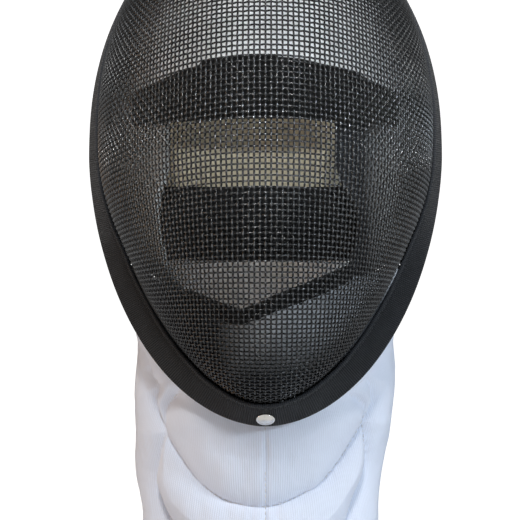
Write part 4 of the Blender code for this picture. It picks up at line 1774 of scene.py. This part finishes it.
@dataclass
class HeadLinings:
    """The crown lining with its forehead pad, and the two cheek linings."""

    form: MaskForm
    lining: float = 0.006
    pad_thickness: float = 0.012
    pad_height: float = 0.0405
    side_room: float = 0.031
    above_brow: float = 0.041
    front_room: float = 0.066
    sweep: float = 0.060
    droop: float = 0.017
    pad_seat: float = -0.0015
    end_thinning: float = 0.45
    crown_wrap: float = 76.5
    bulge: float = 0.042
    side_fall: float = 0.75
    forward: float = 0.75
    tuck: float = 0.005
    front_drop: float = 0.0040
    cheek: float = 0.005
    cheek_back: float = 0.013
    cheek_top: float = 75.0
    cheek_bottom: float = 116.0
    cheek_top_share: float = 0.70
    cheek_growth: float = 10.0
    left_inset: Table = ((75.0, 0.043), (96.0, 0.043), (101.0, 0.036), (110.0, 0.036), (116.0, 0.044))
    right_inset: Table = ((75.0, 0.058), (97.0, 0.058), (102.0, 0.045), (110.0, 0.045), (116.0, 0.058))
    cheek_forward: float = 0.036
    cheek_drop: float = 0.028
    cheek_drop_angle: float = 94.0
    # Places across past which the cheek linings are greyed as painted shade; the left one lies out of reach,
    # so only the right cheek is greyed by its inner edge.
    left_shade_edge: float = -1.0
    right_shade_edge: float = 0.080
    crown_cells: tuple[int, int] = (120, 70)
    pad_cells: tuple[int, int] = (120, 22)
    cheek_cells: tuple[int, int] = (70, 40)
    crown_wrinkle: float = 0.0014
    crown_wrinkle_size: float = 0.035
    pad_unevenness: float = 0.0007
    pad_unevenness_size: float = 0.02
    cheek_wrinkle: float = 0.0012
    cheek_wrinkle_size: float = 0.018

    def pad_line(self, u: Array) -> Array:
        """Draws the pad's top edge.

        Args:
            u: Places across, from -1 to 1.

        Returns:
            The points.
        """
        x = (self.form.width / 2 - self.side_room) * u
        depth = self.front_room + self.sweep * u * u
        return stack(x, depth, self.form.brow + self.above_brow - self.droop * u * u)

    def crown(self) -> Object:
        """Makes the lining over the crown.

        Returns:
            The piece.
        """
        columns, rows = self.crown_cells
        u, v = np.meshgrid(np.linspace(-1, 1, columns), crowded(rows, 0.03))
        front = self.pad_line(u) + self.lining / 2 * Y_AXIS - self.front_drop * Z_AXIS
        back = self.form.tape(self.crown_wrap * u, self.tuck, self.form.inside_tape(self.lining))
        lift = (self.bulge * (1 - self.side_fall * u * u))[..., None]
        bend = (front + back) / 2 + lift * (Z_AXIS - self.forward * Y_AXIS)
        v3 = v[..., None]
        grid = (1 - v3) ** 2 * front + 2 * v3 * (1 - v3) * bend + v3 * v3 * back
        middle = np.sin(np.pi * np.clip(v, 0, 1))
        uneven = 0.6 + 0.6 * ripple(grid[..., 0], grid[..., 1], self.crown_wrinkle_size, 21)
        wrinkles = -self.crown_wrinkle * middle * uneven
        obj = soft_panel(
            "crown_padding",
            self.form.place(grid),
            self.lining,
            LiningCloth("white_lining_cloth", (0.88, 0.90, 0.93), (0.70, 0.71, 0.73)).material(),
            lambda p, n: float(n[2]),
            border=0.0012,
            relief=wrinkles,
        )
        return seat(obj, "crown_lining")

    def pad(self) -> Object:
        """Makes the padded band across the forehead.

        Returns:
            The piece.
        """
        columns, rows = self.pad_cells
        u, down = np.meshgrid(crowded(columns, 0.02), crowded(rows, 0.12))
        u = 2 * u - 1
        top = self.pad_line(u)
        ahead = unit((self.pad_line(u + 0.01) - self.pad_line(u - 0.01)) * (1, 1, 0))
        back = stack(-ahead[..., 1], ahead[..., 0], 0.0)
        tall = self.pad_height - self.droop * u * u
        full = self.pad_thickness * (1 - self.end_thinning * u**4)
        grid = top - (self.pad_seat + down * tall)[..., None] * Z_AXIS + (0.5 * full)[..., None] * back
        relief = self.pad_unevenness * ripple(grid[..., 0], grid[..., 2], self.pad_unevenness_size, 31)
        obj = soft_panel(
            "forehead_padding",
            self.form.place(grid),
            full,
            BlackCloth("pad_velour", (0.0040, 0.0040, 0.0045), (0.014, 0.014, 0.015), sheen=0.06).material(),
            lambda p, n: float(-n[1]),
            border=0.0035,
            relief=relief,
        )
        return seat(obj, "forehead_pad")

    def cheek_panel(self, side: Side) -> Object:
        """Makes one cheek lining.

        Args:
            side: Its side of the mask.

        Returns:
            The piece.
        """
        rows, columns = self.cheek_cells
        turns = np.linspace(self.cheek_top, self.cheek_bottom, rows)
        turn, v = np.meshgrid(turns, crowded(columns, 0.07), indexing="ij")
        rear = self.form.tape(side.value * turn, self.cheek_back, self.form.inside_tape(self.cheek))
        grown = ease((turn - self.cheek_top) / self.cheek_growth)
        reach = self.cheek_top_share + (1 - self.cheek_top_share) * grown
        lowered = ease((turn - self.cheek_drop_angle) / (self.cheek_bottom - self.cheek_drop_angle))
        inset = read_table(self.left_inset if side is Side.LEFT else self.right_inset, turn)
        inward = stack(-side.value * inset, -self.cheek_forward, -self.cheek_drop * lowered)
        grid = rear + (v * reach)[..., None] * inward
        seed = 41 + int(side.value)
        relief = self.cheek_wrinkle * ripple(grid[..., 2], v * 0.05, self.cheek_wrinkle_size, seed)
        name = "cheek_lining_" + side.name.lower()
        inner = self.left_shade_edge if side is Side.LEFT else self.right_shade_edge
        # Painted shade on the cheek: greyer inwards of its shade edge and below a height.
        pale = ShadedLining(name + "_cloth", (0.66, 0.69, 0.70), (0.50, 0.52, 0.52), side=inner, spread=0.016)
        obj = soft_panel(
            name + "_padding",
            self.form.place(grid),
            self.cheek,
            pale.material(),
            lambda p, n: float(-n[1]),
            relief=relief,
        )
        return seat(obj, name)

    def build(self) -> list[Object]:
        """Makes all four."""
        return [self.crown(), self.pad(), self.cheek_panel(Side.LEFT), self.cheek_panel(Side.RIGHT)]


@dataclass
class ChinLining:
    """The lining inside the chin with its V-shaped, bound top edge."""

    form: MaskForm
    thickness: float = 0.005
    stand_off: float = 0.012
    half_span: float = 0.064
    wrap: float = 60.0
    reach: float = 0.996
    easing: float = 1.5
    lip_start: float = 0.88
    lip_back: float = 0.0105
    tip_across: float = -0.0225
    tip_height: float = 0.0570
    left_height: float = 0.0676
    right_height: float = 0.0830
    binding_width: float = 0.0098
    binding_thickness: float = 0.0068
    binding_lift: float = -0.0012
    cells: tuple[int, int] = (110, 50)
    binding_cells: tuple[int, int] = (120, 7)
    wrinkle: float = 0.0013
    wrinkle_size: float = 0.02

    def vee(self, x: Array) -> Array:
        """Returns the height of the V-shaped edge."""
        knots = (-self.half_span, self.tip_across, self.half_span)
        return np.interp(x, knots, (self.left_height, self.tip_height, self.right_height))

    def build(self) -> list[Object]:
        """Makes the lining and its binding.

        Returns:
            The pieces.
        """
        form = self.form
        u, v = np.meshgrid(np.linspace(-1, 1, self.cells[0]), crowded(self.cells[1], 0.05))
        x_top = self.half_span * u
        rim = form.bowl(180 - self.wrap * u, np.full(u.shape, self.reach))
        down = np.minimum(v / self.lip_start, 1.0)
        x = x_top + (rim[..., 0] - x_top) * down
        height = self.vee(x_top) + (rim[..., 2] - self.vee(x_top)) * down
        near = form.wall + form.facet_gap + self.stand_off * (1 - down) ** self.easing
        grid = form.inside_bowl(x, height, near + self.thickness / 2)
        lip = form.tape(180 - self.wrap * u, self.lip_back, form.inside_tape(self.thickness))
        grid = grid + (lip - grid[-1]) * ease((v - self.lip_start) / (1 - self.lip_start))[..., None]
        uneven = 0.5 + 0.6 * ripple(x, height, self.wrinkle_size, 51)
        relief = -self.wrinkle * uneven * np.sin(np.pi * v)
        colours = (0.74, 0.78, 0.84), (0.56, 0.59, 0.65)
        # Painted shade: the chin lining is greyed to the left of the middle, towards the bottom and along the
        # lower right rim.
        white = ShadedLining("chin_lining_cloth", *colours, low=-0.256, fall=0.03, rim=0.308)
        lining = soft_panel(
            "chin_padding",
            form.place(grid),
            self.thickness,
            white.material(),
            lambda p, n: float(-n[1]),
            relief=relief,
        )
        columns, rows = self.binding_cells
        across, lift = np.meshgrid(np.linspace(-1, 1, columns) * self.half_span, crowded(rows, 0.4))
        rise = self.binding_lift + self.binding_width * (1 - lift)
        inset = form.wall + form.facet_gap + self.stand_off + self.thickness / 2
        band = form.inside_bowl(across, self.vee(across) + rise, inset)
        binding = soft_panel(
            "chin_binding",
            form.place(band),
            self.binding_thickness,
            BlackCloth("binding_cloth", (0.006, 0.006, 0.007), (0.022, 0.022, 0.024), sheen=0.08).material(),
            lambda p, n: float(-n[1]),
            border=0.0018,
        )
        return [seat(lining, "chin_lining"), seat(binding, "lining_binding")]


@dataclass
class HeadStrap:
    """The wide elastic strap."""

    form: MaskForm
    width: float = 0.052
    thickness: float = 0.002
    middle_height: float = 0.122
    sag: float = 0.058
    tuck: float = 0.009
    fit_gap: float = 0.0003
    rows: int = 16
    columns: int = 150
    edge_steps: int = 3601

    def build(self) -> Object:
        """Makes the strap from one side round to the other.

        Returns:
            The piece.
        """
        form = self.form
        heights = self.middle_height + self.width * (0.5 - crowded(self.rows, 0.03))
        turns = np.linspace(0, 180, self.edge_steps)
        edge_heights = form.edge(turns)[:, 2]
        turn = np.interp(-heights, -edge_heights, turns)
        inward = form.inside_tape(self.thickness)
        sewn, end = form.tape(turn, self.tuck, inward), form.tape(turn, self.fit_gap, inward)
        swing = np.linspace(-np.pi / 2, np.pi / 2, self.columns)
        mirror = np.array((-1.0, 1.0, 1.0))
        sway = stack(np.sin(swing), 1.0, 1.0)
        hung = end[:, None] * sway[None] + (self.sag * np.cos(swing))[None, :, None] * Y_AXIS
        left, right = (sewn * mirror)[:, None], sewn[:, None]
        joins = (left + hung[:, :1]) / 2, (right + hung[:, -1:]) / 2
        grid = np.concatenate((left, joins[0], hung, joins[1], right), 1)
        obj = soft_panel(
            "elastic_strap",
            form.place(grid),
            self.thickness,
            ElasticWeb().material(),
            lambda p, n: float(n[1]),
        )
        return seat(obj, "head_strap")


@dataclass
class RearTongue:
    """The covered spring plate from the crown down behind the head, outside the strap."""

    form: MaskForm
    wrap: float = 33.0
    half_width: float = 0.069
    thickness: float = 0.010
    bottom: float = 0.056
    seat_gap: float = 0.0012
    corner: float = 0.026
    cup: float = 0.0075
    settle: float = 0.45
    side_thinning: float = 0.6
    line: Table = (
        (0.00, 0.000),
        (0.04, 0.009),
        (0.10, 0.020),
        (0.20, 0.033),
        (0.36, 0.043),
        (0.55, 0.0479),
        (0.75, 0.0477),
        (1.00, 0.039),
    )
    fall: Table = (
        (0.00, 0.000),
        (0.04, 0.006),
        (0.10, 0.045),
        (0.20, 0.150),
        (0.36, 0.325),
        (0.55, 0.530),
        (0.75, 0.745),
        (1.00, 1.000),
    )
    fullness: Table = ((0.00, 0.30), (0.10, 0.85), (0.50, 1.00), (0.90, 0.95), (1.00, 0.80))
    sway: float = -0.008
    side_seam: float = 0.90
    foot_seam: float = 0.955
    seam_depth: float = 0.0008
    columns: int = 90
    rows: int = 140
    row_crowding: float = 1.15
    unevenness: float = 0.0006
    unevenness_size: float = 0.022

    def middle(self, u: Array, v: Array) -> Array:
        """Draws the middle of the tongue's wall.

        Args:
            u: Places across, from -1 to 1.
            v: Places from the seat, 0, to the foot, 1.

        Returns:
            The points.
        """
        base = self.form.tape(self.wrap * u, -self.seat_gap, -self.form.wall / 2)
        settled = ease(v / self.settle)
        x = base[..., 0] + (self.half_width * u - base[..., 0]) * settled + self.sway * ease((v - 0.15) / 0.4)
        depth = base[..., 1] + read_table(self.line, v) - self.cup * u * u * settled
        foot = self.bottom + self.corner * u**4 - base[..., 2]
        return stack(x, depth, base[..., 2] + foot * read_table(self.fall, v))

    def build(self) -> list[Object]:
        """Makes the covered plate and its sewn border.

        Returns:
            The pieces.
        """
        down = crowded(self.rows, 0.012) ** self.row_crowding
        u, v = np.meshgrid(2 * crowded(self.columns, 0.035) - 1, down)
        grid = self.middle(u, v)
        thickness = self.thickness * (1 - self.side_thinning * u**6) * read_table(self.fullness, v)
        relief = self.unevenness * ripple(grid[..., 0], grid[..., 2], self.unevenness_size, 61)
        out = np.abs(u)
        groove = dip(out - self.side_seam, 0.02) + dip(v - self.foot_seam, 0.009) * (out < self.side_seam)
        obj = soft_panel(
            "tongue_padding",
            self.form.place(grid),
            thickness,
            TongueCover().material(),
            lambda p, n: float(n[1]),
            border=0.003,
            relief=relief - self.seam_depth * groove,
        )
        return [seat(obj, "rear_tongue")]


# Studio.


@dataclass(frozen=True)
class Lamp:
    """A lamp that faces the mask: a square soft box, or a soft-edged spot where it has a cone, in degrees."""

    name: str
    place: Point
    size: float
    power: float
    colour: Colour = (1.0, 1.0, 1.0)
    aim: Point = (0.0, 0.0, -0.2)
    cone: float = 0.0
    softness: float = 0.7

    def hang(self) -> None:
        """Adds the lamp to the scene."""
        data = bpy.data.lights.new(self.name, "SPOT" if self.cone else "AREA")
        data.energy, data.color = self.power, self.colour
        if self.cone:
            data.spot_size, data.spot_blend = math.radians(self.cone), self.softness
            data.shadow_soft_size = self.size
        else:
            data.shape, data.size = "SQUARE", self.size
        obj = add_object(self.name, data)
        way = unit(np.array(self.aim) - np.array(self.place))
        obj.location = self.place
        flat = math.hypot(way[0], way[1])
        obj.rotation_euler = (math.atan2(flat, -way[2]), 0.0, math.atan2(-way[0], way[1]))
        obj.visible_camera = bool(self.cone)


@dataclass
class Studio:
    """Camera, floor and soft lights."""

    eye: tuple[float, float, float] = (0.0, -0.7628, -0.1932)
    lens: float = 79.6
    shift: tuple[float, float] = (-0.0106, -0.0769)
    floor_gap: float = 0.0005
    sensor: float = 36.0
    world_strength: float = 0.07
    backdrop: float = 1.05
    floor_strength: float = 0.92
    floor_glow: Colour = (0.12, 0.12, 0.12)
    white: Colour = (1.0, 1.0, 1.0)
    lamps: tuple[Lamp, ...] = (
        Lamp("key_box", (-0.1, -1.2, 1.25), 0.32, 20.5, (1.0, 0.98, 0.95)),
        Lamp("warm_box", (-1.5, -0.25, -0.25), 0.5, 5.5, (1.0, 0.60, 0.32)),
        Lamp("cool_box", (1.4, -1.0, 0.4), 0.32, 15.0, (0.78, 0.89, 1.0)),
        Lamp("top_box", (0.1, -0.6, 1.6), 0.5, 11.0, (0.97, 0.98, 1.0)),
        Lamp("face_lamp", (0.05, -2.2, 0.02), 0.05, 135.0, aim=(0.0, 0.0, -0.065), cone=9.5),
    )

    def camera(self) -> None:
        """Places the camera level in front of the mask."""
        data = bpy.data.cameras.new("camera")
        data.lens, data.sensor_width = self.lens, self.sensor
        data.shift_x, data.shift_y = self.shift
        obj = add_object("camera", data)
        obj.location = self.eye
        obj.rotation_euler = (math.radians(90), 0.0, 0.0)
        bpy.context.scene.camera = obj

    def floor(self) -> None:
        """Lays a plain pale floor that sweeps up far behind the mask."""
        recipe = Recipe("pale_floor", 0.9, 0.1, {"Emission Strength": self.floor_strength})
        speckle = recipe.noise(recipe.coordinates("Object"), 8.0, 2.0)
        colour = recipe.blend(speckle, (0.60, 0.60, 0.60), (0.63, 0.63, 0.63))
        seen = recipe.output(recipe.node("ShaderNodeLightPath"), "Is Camera Ray")
        recipe.join(recipe.blend(seen, self.floor_glow, self.white), "Emission Color")
        material = recipe.finish(colour)
        level = CAD_BOX[0][2] - self.floor_gap
        angles = np.radians(np.linspace(0, 90, 24))
        profile = [(-3.0, 0.0), (1.6, 0.0)]
        profile += [(2.2 + 0.9 * math.sin(a), 0.9 - 0.9 * math.cos(a)) for a in angles]
        profile += [(3.1, 3.4)]
        points = np.array([(x, y, level + z) for y, z in profile for x in (-5.0, 5.0)])
        faces = [(2 * k, 2 * k + 1, 2 * k + 3, 2 * k + 2) for k in range(len(profile) - 1)]
        mesh_object("floor", points, faces, material)

    def world_light(self) -> None:
        """Makes a white surrounding that lights the mask softly."""
        world = bpy.data.worlds.new("studio")
        world.use_nodes = True
        bpy.context.scene.world = world
        maker = NodeMaker(world.node_tree)
        maker.tree.nodes.clear()
        white = (*self.white, 1.0)
        lamp = maker.node("ShaderNodeBackground", inputs={"Color": white, "Strength": self.world_strength})
        seen = maker.node("ShaderNodeBackground", inputs={"Color": white, "Strength": self.backdrop})
        path = maker.node("ShaderNodeLightPath").outputs["Is Camera Ray"]
        mix = maker.node("ShaderNodeMixShader", inputs={0: path, 1: lamp.outputs[0], 2: seen.outputs[0]})
        maker.node("ShaderNodeOutputWorld", inputs={0: mix.outputs[0]})

    def build(self) -> None:
        """Sets everything up."""
        self.camera()
        self.floor()
        self.world_light()
        for lamp in self.lamps:
            lamp.hang()
        settings = bpy.context.scene.view_settings
        settings.view_transform = "Standard"
        settings.look = "None"


def main() -> None:
    """Builds the studio and every sub-assembly in order."""
    logging.basicConfig(level=logging.INFO, format="%(name)s %(message)s", stream=sys.stdout)
    Studio().build()
    form = MaskForm()
    WireCloth(form).build()
    EdgeTape(form).build()
    PressStud(form).build()
    Bib(form).build()
    HeadLinings(form).build()
    ChinLining(form).build()
    HeadStrap(form).build()
    RearTongue(form).build()


if __name__ == "__main__":
    main()
